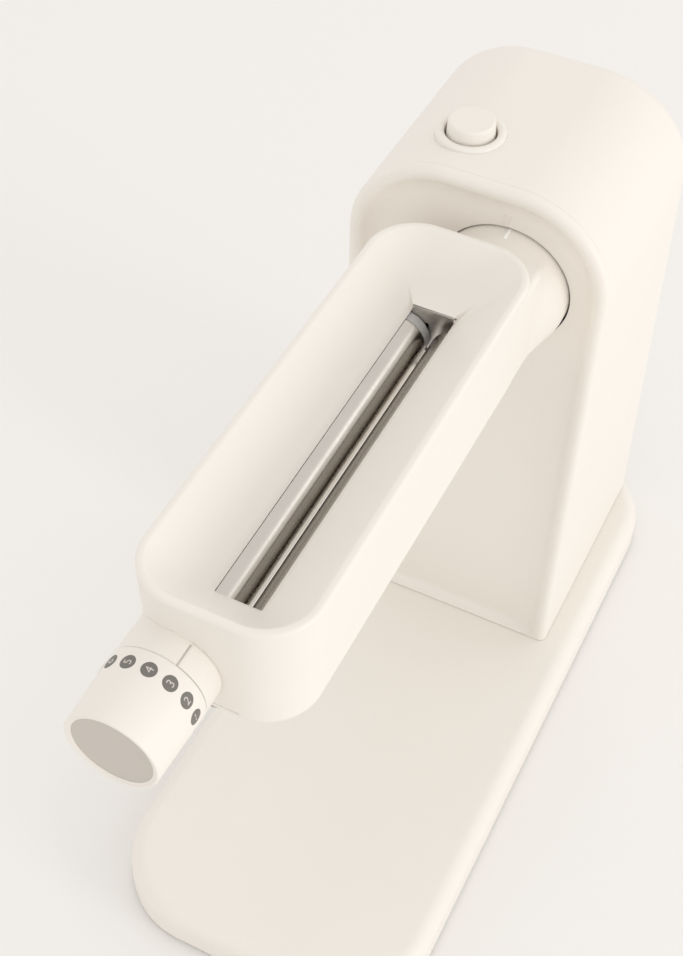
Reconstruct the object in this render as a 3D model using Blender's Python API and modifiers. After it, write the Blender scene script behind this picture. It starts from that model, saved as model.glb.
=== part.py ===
"""Electric pasta maker: base, tower with motor and gear train, and a roller head with a thickness knob.

Metres, +Z up. The base stands on z = 0, the roller head reaches towards -Y, and the origin is at the
centre of the whole footprint. A depth is a distance behind the tower's front plane, so the roller head
has negative depths.
"""
import math

import bmesh
import bpy
from mathutils import Matrix, Vector

# Fits
GAP = 0.0003
RUNNING_PLAY = 0.0003
CUT_OVERRUN = 0.004
MERGE = 0.00001

# Base
BASE_WIDTH = 0.136
BASE_THICKNESS = 0.0185
BASE_FRONT_REACH = 0.200
BASE_REAR_REACH = 0.126
BASE_CORNER = 0.038
BASE_EDGE = 0.007
BASE_WALL = 0.0025
BASE_PLATE_THICKNESS = 0.002
BASE_PLATE_RECESS = 0.0007
FOOT_DROP = 0.0015
FOOT_RADIUS = 0.008
FOOT_INSET = 0.022

# Tower
TOWER_WIDTH = 0.108
TOWER_HEIGHT = 0.250
TOWER_CORNER = 0.040
TOWER_TOP_DEPTH = 0.096
TOWER_FOOT_DEPTH = 0.118
TOWER_WALL = 0.0025
TOWER_BACK_EDGE = 0.008
RIM_LENGTH = 0.0105
RIM_ROUND = 0.005
RIM_CREST = 0.0005
COVE_WIDTH = 0.0065
RECESS_DEPTH = 0.006
FOOT_LIP_SHARE = 0.45

# Button on the tower's top
BUTTON_X = -0.016
BUTTON_DEPTH = 0.027
BUTTON_RADIUS = 0.0096
BUTTON_RISE = 0.0058
BUTTON_SKIRT = 0.0045
BUTTON_EDGE = 0.001
BUTTON_TAPER = 0.0005
BUTTON_TRAVEL = 0.0025
BUTTON_WALL = 0.0015
STEM_RADIUS = 0.003
STEM_LENGTH = 0.010
RING_WIDTH = 0.0035
RING_RISE = 0.0015
RING_DEPTH = 0.0075
SWITCH_SIZE = 0.013
SWITCH_HEIGHT = 0.012
SWITCH_DROP = 0.0108
BUTTON_SPRING_WIRE = 0.0005
BUTTON_SPRING_TURNS = 4
BUTTON_SPRING_PLAY = 0.0015

# Chassis, gearbox and motor
CHASSIS_MARGIN = 0.012
CHASSIS_THICKNESS = 0.002
CHASSIS_FLANGE = 0.036
CHASSIS_RISE = 0.026
FRONT_PLATE_DEPTH = 0.034
FRONT_PLATE_WIDTH = 0.058
FRONT_PLATE_MARGIN = 0.008
GEAR_LAYER = 0.0068
GEAR_LAYER_GAP = 0.0008
GEAR_MODULE = 0.00125
TOOTH_HEIGHT_SHARE = 1.2
TOOTH_PLAY_SHARE = 0.35
TOOTH_TOP_SHARE = 0.22
TOOTH_ROOT_SHARE = 0.38
MOTOR_PINION_TEETH = 10
FIRST_WHEEL_TEETH = 28
FIRST_PINION_TEETH = 10
SECOND_WHEEL_TEETH = 32
SECOND_PINION_TEETH = 11
OUTPUT_WHEEL_TEETH = 36
FIRST_WHEEL_LEAN = -28.0
SECOND_WHEEL_LEAN = 24.0
OUTPUT_WHEEL_LEAN = -26.0
AXLE_RADIUS = 0.0025
PILLAR_RADIUS = 0.003
PILLAR_OFFSETS = ((-0.0313, 0.0013), (0.0157, 0.0333))
OUTPUT_SHAFT_RADIUS = 0.005
OUTPUT_HEAD_RADIUS = 0.009
OUTPUT_HEAD_FRONT = 0.014
OUTPUT_HEAD_LENGTH = 0.016
BEARING_WIDTH = 0.004
BEARING_LENGTH = 0.004
MOTOR_RADIUS = 0.022
MOTOR_LENGTH = 0.026
MOTOR_CAP_LENGTH = 0.005
MOTOR_WALL = 0.0015
MOTOR_SHAFT_RADIUS = 0.0015
MOTOR_BOSS_RADIUS = 0.006
SCREW_RADIUS = 0.002
SCREW_HEAD_RADIUS = 0.0038
SCREW_HEAD_HEIGHT = 0.0022
SCREW_LENGTH = 0.006
SOCKET_CUP_WALL = 0.0025

# Circuit board, power inlet and leads
BOARD_WIDTH = 0.056
BOARD_HEIGHT = 0.062
BOARD_THICKNESS = 0.0016
BOARD_FOOT = 0.012
PEG_LENGTH = 0.004
PEG_RADIUS = 0.0025
CAPACITOR_RADIUS = 0.006
CAPACITOR_LENGTH = 0.014
INLET_WIDTH = 0.024
INLET_HEIGHT = 0.016
INLET_LENGTH = 0.016
INLET_RISE = 0.024
INLET_WALL = 0.002
INLET_PROUD = 0.001
INLET_PIN_RADIUS = 0.0012
LEAD_RADIUS = 0.0012
LEAD_POINTS = 18

# Roller head
AXIS_DROP = 0.047
HEAD_GAP = 0.010
HEAD_WIDTH = 0.0624
HEAD_LENGTH = 0.197
HEAD_CORNER = 0.020
HEAD_WALL = 0.0025
HEAD_TAPER = 0.0010
HEAD_BOTTOM_EDGE = 0.0015
RIM_ABOVE_AXIS = 0.0308
WALL_BELOW_AXIS = 0.0148
RIM_EDGE = 0.0014
RIM_LAND = 0.0024
TRAY_LIP_DROP = 0.0012
TRAY_DEPTH = 0.0155
SLOT_WIDTH = 0.0187
SLOT_CORNER = 0.0006
SLOT_LAND = 0.002
ROOF_DROP = 0.0075
ROOM_CORNER = 0.008
BULKHEAD_DISTANCE = 0.009
BULKHEAD_WALL = 0.004
RECESS_RADIUS = 0.013
NEAR_SLOPE = 0.020
FAR_SLOPE = 0.027
COLLAR_RADIUS = 0.0274
COLLAR_WALL = 0.0025
COLLAR_START = 0.006
COLLAR_ROUND = 0.0025
COLLAR_ROUND_DEPTH = 0.002
COLLAR_TOP_DROP = 0.0045
COLLAR_REACH = 0.018
COLLAR_PLAY = 0.0007
MARK_LENGTH = 0.0055
MARK_WIDTH = 0.0006
MARK_SPACING = 0.0019
MARK_HEIGHT = 0.0003
COVER_THICKNESS = 0.0022
COVER_INSET = 0.0012
OUTLET_WIDTH = 0.024
COVER_BOSS_RADIUS = 0.0032
COVER_BOSS_HEIGHT = 0.005
COVER_SCREW_HOLE = 0.0037
FAR_SCREW_INSET = 0.0066

# Rollers and what carries them
ROLLER_RADIUS = 0.0104
NIP = 0.0018
JOURNAL_RADIUS = 0.004
END_RING_LENGTH = 0.0027
END_RING_LIP = 0.0002
BARREL_END_PLAY = 0.0005
JOURNAL_NEAR_LENGTH = 0.0037
SIDE_PLATE_THICKNESS = 0.0015
SIDE_PLATE_MARGIN = 0.0012
BUSH_WALL = 0.0025
BUSH_LENGTH = 0.0028
CARRIER_WIDTH = 0.015
CARRIER_HEIGHT = 0.013
CARRIER_OPENING_TRAVEL = 0.00056
CARRIER_CLOSING_TRAVEL = 0.0014
ROLLER_GEAR_TEETH = 12
ROLLER_GEAR_LENGTH = 0.008
ROLLER_GEAR_TIP = 0.0007
ROLLER_GEAR_TOOTH = 0.0032
ROLLER_GEAR_START = 0.004
TIE_ROD_RADIUS = 0.002
TIE_ROD_DROP = 0.010
SCRAPER_PLAY = 0.0009
SCRAPER_ANGLE = -55.0
SCRAPER_TIP = 0.0008
SCRAPER_FOOT = 0.006
SCRAPER_FOOT_HEIGHT = 0.0012
HEX_WIDTH = 0.009
HEX_REACH = 0.0275
COUPLING_RADIUS = 0.007
COUPLING_LENGTH = 0.027
COUPLING_GRIP = 0.0077

# Thickness knob
NECK_RADIUS = 0.0167
NECK_LENGTH = 0.009
NECK_WALL = 0.002
NECK_ROOT = 0.012
INDEX_ANGLE = 63.0
INDEX_WIDTH = 0.0008
INDEX_GROOVE = 0.0006
KNOB_RADIUS = 0.0164
KNOB_BACK_RADIUS = 0.0171
KNOB_LENGTH = 0.027
KNOB_WALL = 0.0015
KNOB_EDGE = 0.0006
KNOB_FLOOR = 0.015
KNOB_FLOOR_THICKNESS = 0.0025
HUB_RADIUS = 0.0065
HUB_LENGTH = 0.003
DISC_THICKNESS = 0.0012
DISC_RECESS = 0.0008
ADJUST_SHAFT_RADIUS = 0.003
CAM_RADIUS = 0.006
CAM_OFFSET = 0.001
CAM_LENGTH = 0.004
CAM_AHEAD = 0.009
WASHER_RADIUS = 0.006
WASHER_THICKNESS = 0.0012
WASHER_PLAY = 0.001
KNOB_SPRING_WIRE = 0.0005
KNOB_SPRING_TURNS = 3
KNOB_SPRING_PLAY = 0.0015

# Facets
ROUND_SIDES = 40
INNER_SIDES = 24
SMALL_SIDES = 12
CORNER_STEPS = 6
COLLAR_STEPS = 9
EDGE_STEPS = 3

# Places worked out from the sizes above
KNOB_BACK_DEPTH = -(HEAD_GAP + HEAD_LENGTH + NECK_LENGTH + GAP)
KNOB_FRONT_DEPTH = KNOB_BACK_DEPTH - KNOB_LENGTH
FACE_Y = -(KNOB_FRONT_DEPTH + BASE_REAR_REACH) / 2
BASE_TOP = FOOT_DROP + BASE_THICKNESS
TOWER_FOOT = BASE_TOP + GAP
TOWER_TOP = TOWER_FOOT + TOWER_HEIGHT
AXIS_Z = TOWER_TOP - AXIS_DROP
ROLLER_PITCH = ROLLER_RADIUS + NIP / 2
RIM_Z = AXIS_Z + RIM_ABOVE_AXIS
SLOT_Z = RIM_Z - TRAY_DEPTH
WALL_BOTTOM = AXIS_Z - WALL_BELOW_AXIS
COVER_TOP = WALL_BOTTOM - GAP
HEAD_FAR = -HEAD_GAP
HEAD_NEAR = -(HEAD_GAP + HEAD_LENGTH)
SLOT_FAR = HEAD_FAR - FAR_SLOPE
SLOT_NEAR = HEAD_NEAR + NEAR_SLOPE
BARREL_NEAR = SLOT_NEAR + BARREL_END_PLAY
BARREL_FAR = SLOT_FAR - END_RING_LENGTH - 2 * GAP
BULKHEAD_FRONT = HEAD_FAR - BULKHEAD_DISTANCE
ROLLER_GEAR_FRONT = SLOT_FAR + ROLLER_GEAR_START
PANEL_BACK = RECESS_DEPTH + TOWER_WALL
GEAR_SPACE = FRONT_PLATE_DEPTH + CHASSIS_THICKNESS + GEAR_LAYER_GAP
LAYER_PITCH = GEAR_LAYER + GEAR_LAYER_GAP
CHASSIS_DEPTH = GEAR_SPACE + 3 * LAYER_PITCH


def y_at(depth):
    """World y of a depth behind the tower's front plane."""
    return FACE_Y + depth


def clear_scene():
    for thing in list(bpy.context.scene.objects):
        bpy.data.objects.remove(thing, do_unlink=True)


clear_scene()
PARTS = bpy.data.collections.new("electric_pasta_maker")
TOOLS = bpy.data.collections.new("cutters")
bpy.context.scene.collection.children.link(PARTS)
bpy.context.scene.collection.children.link(TOOLS)


def finish(name, colour, roughness, metallic=0.0):
    material = bpy.data.materials.new(name)
    material.use_nodes = True
    shader = material.node_tree.nodes["Principled BSDF"]
    shader.inputs["Base Color"].default_value = (*colour, 1.0)
    shader.inputs["Roughness"].default_value = roughness
    shader.inputs["Metallic"].default_value = metallic
    material.diffuse_color = (*colour, 1.0)
    return material


CREAM = (0.86, 0.83, 0.78)
STEEL = (0.62, 0.60, 0.57)
NYLON = (0.80, 0.79, 0.75)
RUBBER = (0.05, 0.05, 0.05)
BRASS = (0.70, 0.55, 0.30)


def add_object(name, mesh, material=None, smooth_angle=35.0):
    """A part in the parts collection, or a hidden tool where no material is given."""
    thing = bpy.data.objects.new(name, mesh)
    if material is None:
        TOOLS.objects.link(thing)
        thing.hide_render = True
        thing.display_type = "WIRE"
        return thing
    PARTS.objects.link(thing)
    mesh.materials.append(material)
    mesh.shade_smooth()
    mesh.set_sharp_from_angle(angle=math.radians(smooth_angle))
    return thing


def mesh_from(name, builder):
    mesh = bpy.data.meshes.new(name)
    bmesh.ops.recalc_face_normals(builder, faces=builder.faces)
    builder.to_mesh(mesh)
    builder.free()
    return mesh


def loft(name, sections, material=None, smooth_angle=35.0):
    """A closed solid through sections that each have the same number of points."""
    builder = bmesh.new()
    rings = [[builder.verts.new(point) for point in section] for section in sections]
    for lower, upper in zip(rings, rings[1:]):
        for here in range(len(lower)):
            after = (here + 1) % len(lower)
            builder.faces.new((lower[here], lower[after], upper[after], upper[here]))
    builder.faces.new(list(reversed(rings[0])))
    builder.faces.new(rings[-1])
    return add_object(name, mesh_from(name, builder), material, smooth_angle)


def box(name, low, high, material=None):
    """A box between two corners."""
    builder = bmesh.new()
    bmesh.ops.create_cube(builder, size=1.0)
    size = Vector(high) - Vector(low)
    bmesh.ops.scale(builder, vec=size, verts=builder.verts)
    bmesh.ops.translate(builder, vec=Vector(low) + size / 2, verts=builder.verts)
    return add_object(name, mesh_from(name, builder), material)


def rod(name, radius, start, end, material=None, sides=SMALL_SIDES):
    """A round rod between two points."""
    builder = bmesh.new()
    run = Vector(end) - Vector(start)
    bmesh.ops.create_cone(
        builder, cap_ends=True, segments=sides, radius1=radius, radius2=radius, depth=run.length
    )
    turn = Vector((0.0, 0.0, 1.0)).rotation_difference(run)
    middle = Matrix.Translation(Vector(start) + run / 2)
    bmesh.ops.transform(builder, matrix=middle @ turn.to_matrix().to_4x4(), verts=builder.verts)
    return add_object(name, mesh_from(name, builder), material)


def turned(name, profile, centre, material=None, sides=ROUND_SIDES, upright=False, closed=False):
    """A turned piece. Each profile point is a radius and a distance along the axis, upwards for an
    upright piece and forwards, towards -Y, for the others. It runs down the piece's outer side."""
    mesh = bpy.data.meshes.new(name)
    points = [(radius, 0.0, along) for radius, along in profile]
    edges = [(here, here + 1) for here in range(len(points) - 1)]
    if closed:
        edges.append((len(points) - 1, 0))
    mesh.from_pydata(points, edges, [])
    thing = add_object(name, mesh, material)
    thing.location = centre
    if not upright:
        thing.rotation_euler = (math.radians(90.0), 0.0, 0.0)
    screw = thing.modifiers.new("turn", "SCREW")
    screw.axis = "Z"
    screw.steps = sides
    screw.render_steps = sides
    screw.use_merge_vertices = True
    screw.merge_threshold = MERGE
    screw.use_smooth_shade = True
    return thing


def boolean(target, tool, operation):
    change = target.modifiers.new(tool.name, "BOOLEAN")
    change.operation = operation
    change.solver = "EXACT"
    change.object = tool


def cut(target, tool):
    boolean(target, tool, "DIFFERENCE")


def fuse(target, tool):
    boolean(target, tool, "UNION")


def pivot(name, location, parent=None):
    """An empty on a joint's axis, which its pieces hang from."""
    empty = bpy.data.objects.new(name, None)
    PARTS.objects.link(empty)
    hang(empty, location, parent)
    return empty


PIVOT_PLACES = {}


def hang(empty, location, parent):
    PIVOT_PLACES[empty.name] = Vector(location)
    if parent is None:
        empty.location = location
        return
    empty.parent = parent
    empty.location = Vector(location) - PIVOT_PLACES[parent.name]


def carry(empty, *pieces):
    """Hangs pieces, placed in world coordinates, from a pivot."""
    for piece in pieces:
        piece.parent = empty
        piece.matrix_parent_inverse = Matrix.Translation(PIVOT_PLACES[empty.name]).inverted()


def arc(centre_a, centre_b, radius, start, stop, steps):
    """Points of an arc in a plane, from one angle to another in degrees."""
    angles = [math.radians(start + (stop - start) * step / steps) for step in range(steps + 1)]
    return [(centre_a + radius * math.cos(a), centre_b + radius * math.sin(a)) for a in angles]


def rounded_rectangle(low_a, high_a, low_b, high_b, corner, steps=CORNER_STEPS):
    """Outline points of a rounded rectangle, anticlockwise from the right side's middle."""
    points = []
    points += arc(high_a - corner, high_b - corner, corner, 0.0, 90.0, steps)
    points += arc(low_a + corner, high_b - corner, corner, 90.0, 180.0, steps)
    points += arc(low_a + corner, low_b + corner, corner, 180.0, 270.0, steps)
    points += arc(high_a - corner, low_b + corner, corner, 270.0, 360.0, steps)
    return points


def plan(outline, height):
    return [(x, y, height) for x, y in outline]


def helix_tube(name, radius, wire, start, end, turns, material):
    """A spring between two points of one axis, as one unbroken tube."""
    curve = bpy.data.curves.new(name, "CURVE")
    curve.dimensions = "3D"
    curve.bevel_depth = wire
    curve.bevel_resolution = 1
    curve.use_fill_caps = True
    spline = curve.splines.new("POLY")
    run = Vector(end) - Vector(start)
    turn = Vector((0.0, 0.0, 1.0)).rotation_difference(run).to_matrix()
    count = 10 * turns
    spline.points.add(count)
    for step in range(count + 1):
        angle = 2 * math.pi * turns * step / count
        along = run.length * step / count
        spot = turn @ Vector((radius * math.cos(angle), radius * math.sin(angle), along)) + Vector(start)
        spline.points[step].co = (*spot, 1.0)
    thing = bpy.data.objects.new(name, curve)
    PARTS.objects.link(thing)
    curve.materials.append(material)
    return thing


def lead(name, route, material):
    """A cable's tube, straight at both ends and on a smooth curve through its route between them."""
    curve = bpy.data.curves.new(name, "CURVE")
    curve.dimensions = "3D"
    curve.bevel_depth = LEAD_RADIUS
    curve.bevel_resolution = 1
    curve.use_fill_caps = True
    inner = [Vector(place) for place in route[1:-1]]
    inner = [inner[0]] + inner + [inner[-1]]
    path = [Vector(route[0])]
    spans = len(inner) - 3
    for step in range(LEAD_POINTS + 1):
        share = spans * step / LEAD_POINTS
        span = min(int(share), spans - 1)
        t = share - span
        a, b, c, d = inner[span:span + 4]
        path.append(0.5 * (2 * b + (c - a) * t + (2 * a - 5 * b + 4 * c - d) * t ** 2
                           + (3 * b - 3 * c + d - a) * t ** 3))
    path.append(Vector(route[-1]))
    spline = curve.splines.new("POLY")
    spline.points.add(len(path) - 1)
    for point, spot in zip(spline.points, path):
        point.co = (*spot, 1.0)
    thing = bpy.data.objects.new(name, curve)
    PARTS.objects.link(thing)
    curve.materials.append(material)
    return thing


def gear_outline(teeth, tip, height, centre, lean):
    """A toothed outline in the XZ plane, with a tooth's middle at the lean angle in degrees."""
    points = []
    for tooth in range(teeth):
        middle = math.radians(lean) + 2 * math.pi * tooth / teeth
        flank = (1 - TOOTH_TOP_SHARE - TOOTH_ROOT_SHARE) / 2
        shares = (-TOOTH_TOP_SHARE / 2 - flank, -TOOTH_TOP_SHARE / 2, TOOTH_TOP_SHARE / 2,
                  TOOTH_TOP_SHARE / 2 + flank)
        for share, radius in zip(shares, (tip - height, tip, tip, tip - height)):
            angle = middle + 2 * math.pi * share / teeth
            points.append((centre[0] + radius * math.cos(angle), centre[1] + radius * math.sin(angle)))
    return points


def along_y(outline, depth):
    return [(x, y_at(depth), z) for x, z in outline]


def screw_up(name, spot, seat, material):
    """A screw from below: its head hangs under the seat, its shank reaches up."""
    head = seat - GAP
    profile = [
        (0.0, head + SCREW_LENGTH),
        (SCREW_RADIUS, head + SCREW_LENGTH),
        (SCREW_RADIUS, head),
        (SCREW_HEAD_RADIUS, head),
        (SCREW_HEAD_RADIUS, head - SCREW_HEAD_HEIGHT),
        (0.0, head - SCREW_HEAD_HEIGHT),
    ]
    return turned(name, profile, (spot[0], spot[1], 0.0), material, SMALL_SIDES, upright=True)


SATIN = finish("cream_satin_plastic", CREAM, 0.42)
DARK = finish("black_rubber", RUBBER, 0.8)
POLISHED = finish("polished_steel", STEEL, 0.2, 1.0)
SHEET = finish("sheet_steel", STEEL, 0.4, 1.0)
SPRING_STEEL = finish("spring_steel", STEEL, 0.3, 1.0)
WHEEL_NYLON = finish("gear_nylon", NYLON, 0.5)
GREY_NYLON = finish("grey_nylon", (0.60, 0.60, 0.58), 0.45)
BRONZE = finish("bearing_bronze", BRASS, 0.35, 1.0)
BOARD_GREEN = finish("circuit_board", (0.06, 0.22, 0.12), 0.5)
BLACK_PLASTIC = finish("black_plastic", (0.05, 0.05, 0.05), 0.45)
DISC_GREY = finish("knob_disc_plastic", (0.62, 0.57, 0.51), 0.45)

DRIVE_AXIS = (ROLLER_PITCH, AXIS_Z)
ADJUST_AXIS = (-ROLLER_PITCH, AXIS_Z)


def cylinder_y(name, radius, axis, front, back, material=None, sides=SMALL_SIDES):
    """A round piece along Y about an axis (x, z), between two depths."""
    start = (axis[0], y_at(front), axis[1])
    end = (axis[0], y_at(back), axis[1])
    return rod(name, radius, start, end, material, sides)


def turned_y(name, profile, axis, material=None, sides=INNER_SIDES, closed=False):
    """A turned piece along Y, whose profile gives radii and depths, from its front to its back."""
    reversed_depths = [(radius, -depth) for radius, depth in profile]
    return turned(name, reversed_depths, (axis[0], y_at(0.0), axis[1]), material, sides, closed=closed)


def ring_y(name, inner, outer, axis, front, back, material, sides=INNER_SIDES):
    """A plain ring along Y."""
    profile = [(outer, front), (outer, back), (inner, back), (inner, front)]
    return turned_y(name, profile, axis, material, sides, closed=True)


# Base

def base_outline(inset):
    half = BASE_WIDTH / 2 - inset
    front = y_at(-BASE_FRONT_REACH) + inset
    rear = y_at(BASE_REAR_REACH) - inset
    return rounded_rectangle(-half, half, front, rear, BASE_CORNER - inset)


def chassis_screw_spots():
    """Where screws come up through the base into the chassis."""
    side = TOWER_WIDTH / 2 - 2 * CHASSIS_MARGIN
    middle = CHASSIS_DEPTH + CHASSIS_THICKNESS - CHASSIS_FLANGE / 2
    return [(-side, y_at(middle)), (side, y_at(middle))]


def make_base():
    sections = [plan(base_outline(0.0), FOOT_DROP)]
    for inset, rise in arc(BASE_EDGE, -BASE_EDGE, BASE_EDGE, 180.0, 90.0, EDGE_STEPS):
        sections.append(plan(base_outline(inset), BASE_TOP + rise))
    shell = loft("base_shell", sections, SATIN)
    hollow = [
        plan(base_outline(BASE_WALL), FOOT_DROP - CUT_OVERRUN),
        plan(base_outline(BASE_WALL), BASE_TOP - BASE_EDGE),
        plan(base_outline(BASE_EDGE), BASE_TOP - BASE_WALL),
    ]
    cut(shell, loft("base_hollow", hollow))
    for number, spot in enumerate(chassis_screw_spots(), 1):
        low = (*spot, BASE_TOP - BASE_WALL - CUT_OVERRUN)
        high = (*spot, BASE_TOP + CUT_OVERRUN)
        cut(shell, rod("base_screw_hole_%d" % number, SCREW_RADIUS + GAP, low, high))
        screw_up("chassis_screw_%d" % number, spot, BASE_TOP - BASE_WALL, SHEET)
    plate_low = FOOT_DROP + BASE_PLATE_RECESS
    inset = BASE_WALL + GAP
    plate = [plan(base_outline(inset), plate_low),
             plan(base_outline(inset), plate_low + BASE_PLATE_THICKNESS)]
    loft("base_plate", plate, BLACK_PLASTIC)
    side = BASE_WIDTH / 2 - FOOT_INSET
    front = y_at(-BASE_FRONT_REACH) + FOOT_INSET
    rear = y_at(BASE_REAR_REACH) - FOOT_INSET
    spots = {"front_left": (-side, front), "front_right": (side, front),
             "back_left": (-side, rear), "back_right": (side, rear)}
    for place, spot in spots.items():
        rod("foot_" + place, FOOT_RADIUS, (*spot, 0.0), (*spot, plate_low - GAP), DARK, INNER_SIDES)


# Tower

def tower_outline(inset, foot_inset=0.0):
    """The tower's front view, from the foot's right end over the top to its left end."""
    half = TOWER_WIDTH / 2 - inset
    corner = TOWER_CORNER - inset
    top = TOWER_TOP - inset
    foot = TOWER_FOOT + foot_inset
    points = [(half, foot)]
    points += arc(half - corner, top - corner, corner, 0.0, 90.0, CORNER_STEPS)
    points += arc(corner - half, top - corner, corner, 90.0, 180.0, CORNER_STEPS)
    points.append((-half, foot))
    return points


def back_depth(height):
    """The back leans: the tower is deeper at its foot."""
    share = (height - TOWER_FOOT) / TOWER_HEIGHT
    return TOWER_FOOT_DEPTH + (TOWER_TOP_DEPTH - TOWER_FOOT_DEPTH) * share


def back_section(inset, short, foot_inset=0.0):
    outline = tower_outline(inset, foot_inset)
    return [(x, y_at(back_depth(z) - short), z) for x, z in outline]


def make_tower_housing():
    sections = [along_y(tower_outline(0.0), RIM_LENGTH + GAP)]
    for back, inset in arc(TOWER_BACK_EDGE, TOWER_BACK_EDGE, TOWER_BACK_EDGE, 270.0, 180.0, EDGE_STEPS):
        sections.append(back_section(inset, back))
    housing = loft("tower_housing", sections, SATIN)
    hollow = [
        along_y(tower_outline(TOWER_WALL, -CUT_OVERRUN), RIM_LENGTH - CUT_OVERRUN),
        back_section(TOWER_WALL, TOWER_BACK_EDGE, -CUT_OVERRUN),
        back_section(TOWER_BACK_EDGE, TOWER_WALL, -CUT_OVERRUN),
    ]
    cut(housing, loft("tower_hollow", hollow))
    centre = (BUTTON_X, y_at(BUTTON_DEPTH))
    radius = BUTTON_RADIUS + 2 * GAP + RING_WIDTH + GAP
    low = (*centre, TOWER_TOP - RING_DEPTH - CUT_OVERRUN)
    high = (*centre, TOWER_TOP + CUT_OVERRUN)
    cut(housing, rod("ring_hole", radius, low, high, sides=ROUND_SIDES))
    low, high = inlet_corners(GAP, CUT_OVERRUN)
    cut(housing, box("inlet_hole", low, high))
    return housing


def make_front_panel():
    """A raised rim round a dished recess, with the round hole for the collar."""
    sections = [along_y(tower_outline(0.0), RIM_LENGTH)]
    for inset, depth in arc(RIM_ROUND, RIM_ROUND, RIM_ROUND, 180.0, 270.0, EDGE_STEPS):
        sections.append(along_y(tower_outline(inset, inset * FOOT_LIP_SHARE), depth))
    crest = RIM_ROUND + RIM_CREST
    steps = 2 * EDGE_STEPS
    for step in range(steps + 1):
        share = step / steps
        inset = crest + COVE_WIDTH * share
        depth = RECESS_DEPTH * (1 - math.cos(math.pi * share)) / 2
        sections.append(along_y(tower_outline(inset, inset * FOOT_LIP_SHARE), depth))
    panel = loft("front_panel", sections, SATIN)
    inner = crest + COVE_WIDTH
    hollow = [
        along_y(tower_outline(TOWER_WALL, TOWER_WALL), RIM_LENGTH + CUT_OVERRUN),
        along_y(tower_outline(TOWER_WALL, TOWER_WALL), RIM_ROUND),
    ]
    for inset, depth in ((RIM_ROUND, TOWER_WALL), (crest, TOWER_WALL), (inner, PANEL_BACK)):
        hollow.append(along_y(tower_outline(inset, TOWER_WALL + inset * FOOT_LIP_SHARE), depth))
    cut(panel, loft("rim_hollow", hollow))
    cut(panel, cylinder_y("collar_hole", COLLAR_RADIUS + COLLAR_PLAY, DRIVE_AXIS,
                          -CUT_OVERRUN, PANEL_BACK + CUT_OVERRUN, sides=ROUND_SIDES))
    top = AXIS_Z + COLLAR_RADIUS + COLLAR_PLAY + GAP
    for name, side in (("left", -1), ("right", 1)):
        x = DRIVE_AXIS[0] - MARK_SPACING / 2 + side * MARK_SPACING / 2
        fuse(panel, box("index_mark_" + name,
                        (x - MARK_WIDTH / 2, y_at(RECESS_DEPTH - MARK_HEIGHT), top),
                        (x + MARK_WIDTH / 2, y_at(RECESS_DEPTH + TOWER_WALL / 2), top + MARK_LENGTH)))


def make_button_ring():
    centre = (BUTTON_X, y_at(BUTTON_DEPTH), 0.0)
    inner = BUTTON_RADIUS + 2 * GAP
    outer = inner + RING_WIDTH
    top = TOWER_TOP + RING_RISE
    profile = [
        (inner + BUTTON_EDGE, top),
        (outer - BUTTON_EDGE, top),
        (outer, top - BUTTON_EDGE),
        (outer, TOWER_TOP - RING_DEPTH),
        (inner, TOWER_TOP - RING_DEPTH),
        (inner, top - BUTTON_EDGE),
    ]
    turned("button_ring", profile, centre, SATIN, upright=True, closed=True)


def make_power_button():
    """A hollow cap on a stem that reaches into the switch, with a spring round the stem."""
    centre = (BUTTON_X, y_at(BUTTON_DEPTH), 0.0)
    top = TOWER_TOP + BUTTON_RISE
    skirt = TOWER_TOP - BUTTON_SKIRT
    ceiling = top - BUTTON_WALL
    crown = BUTTON_RADIUS - BUTTON_TAPER
    profile = [(0.0, top)]
    for radius, height in arc(crown - BUTTON_EDGE, top - BUTTON_EDGE, BUTTON_EDGE, 90.0, 0.0, EDGE_STEPS):
        profile.append((radius, height))
    profile += [
        (BUTTON_RADIUS, skirt),
        (BUTTON_RADIUS - BUTTON_WALL, skirt),
        (BUTTON_RADIUS - BUTTON_WALL, ceiling),
        (STEM_RADIUS, ceiling),
        (STEM_RADIUS, skirt - STEM_LENGTH),
        (0.0, skirt - STEM_LENGTH),
    ]
    button = turned("power_button", profile, centre, SATIN, upright=True)
    switch_top = TOWER_TOP - SWITCH_DROP
    half = SWITCH_SIZE / 2
    low = (BUTTON_X - half, y_at(BUTTON_DEPTH - half), switch_top - SWITCH_HEIGHT)
    high = (BUTTON_X + half, y_at(FRONT_PLATE_DEPTH - GAP), switch_top)
    switch = box("button_switch", low, high, BLACK_PLASTIC)
    floor = (*centre[:2], skirt - STEM_LENGTH - BUTTON_TRAVEL - GAP)
    mouth = (*centre[:2], switch_top + CUT_OVERRUN)
    cut(switch, rod("stem_bore", STEM_RADIUS + RUNNING_PLAY, floor, mouth))
    coil = STEM_RADIUS + BUTTON_SPRING_PLAY
    helix_tube("button_spring", coil, BUTTON_SPRING_WIRE,
               (*centre[:2], switch_top + BUTTON_SPRING_WIRE + GAP),
               (*centre[:2], ceiling - BUTTON_SPRING_WIRE - GAP), BUTTON_SPRING_TURNS, SPRING_STEEL)
    carry(pivot("power_button_pivot", (*centre[:2], skirt)), button)


# Chassis and gearbox

def gear_axes():
    """Where the output, second, first and motor axes lie, each below the one before."""
    steps = [
        (SECOND_PINION_TEETH + OUTPUT_WHEEL_TEETH, OUTPUT_WHEEL_LEAN),
        (FIRST_PINION_TEETH + SECOND_WHEEL_TEETH, SECOND_WHEEL_LEAN),
        (MOTOR_PINION_TEETH + FIRST_WHEEL_TEETH, FIRST_WHEEL_LEAN),
    ]
    axes = [DRIVE_AXIS]
    for teeth, lean in steps:
        reach = GEAR_MODULE * teeth / 2
        turn = math.radians(lean)
        x, z = axes[-1]
        axes.append((x + reach * math.sin(turn), z - reach * math.cos(turn)))
    return axes


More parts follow.
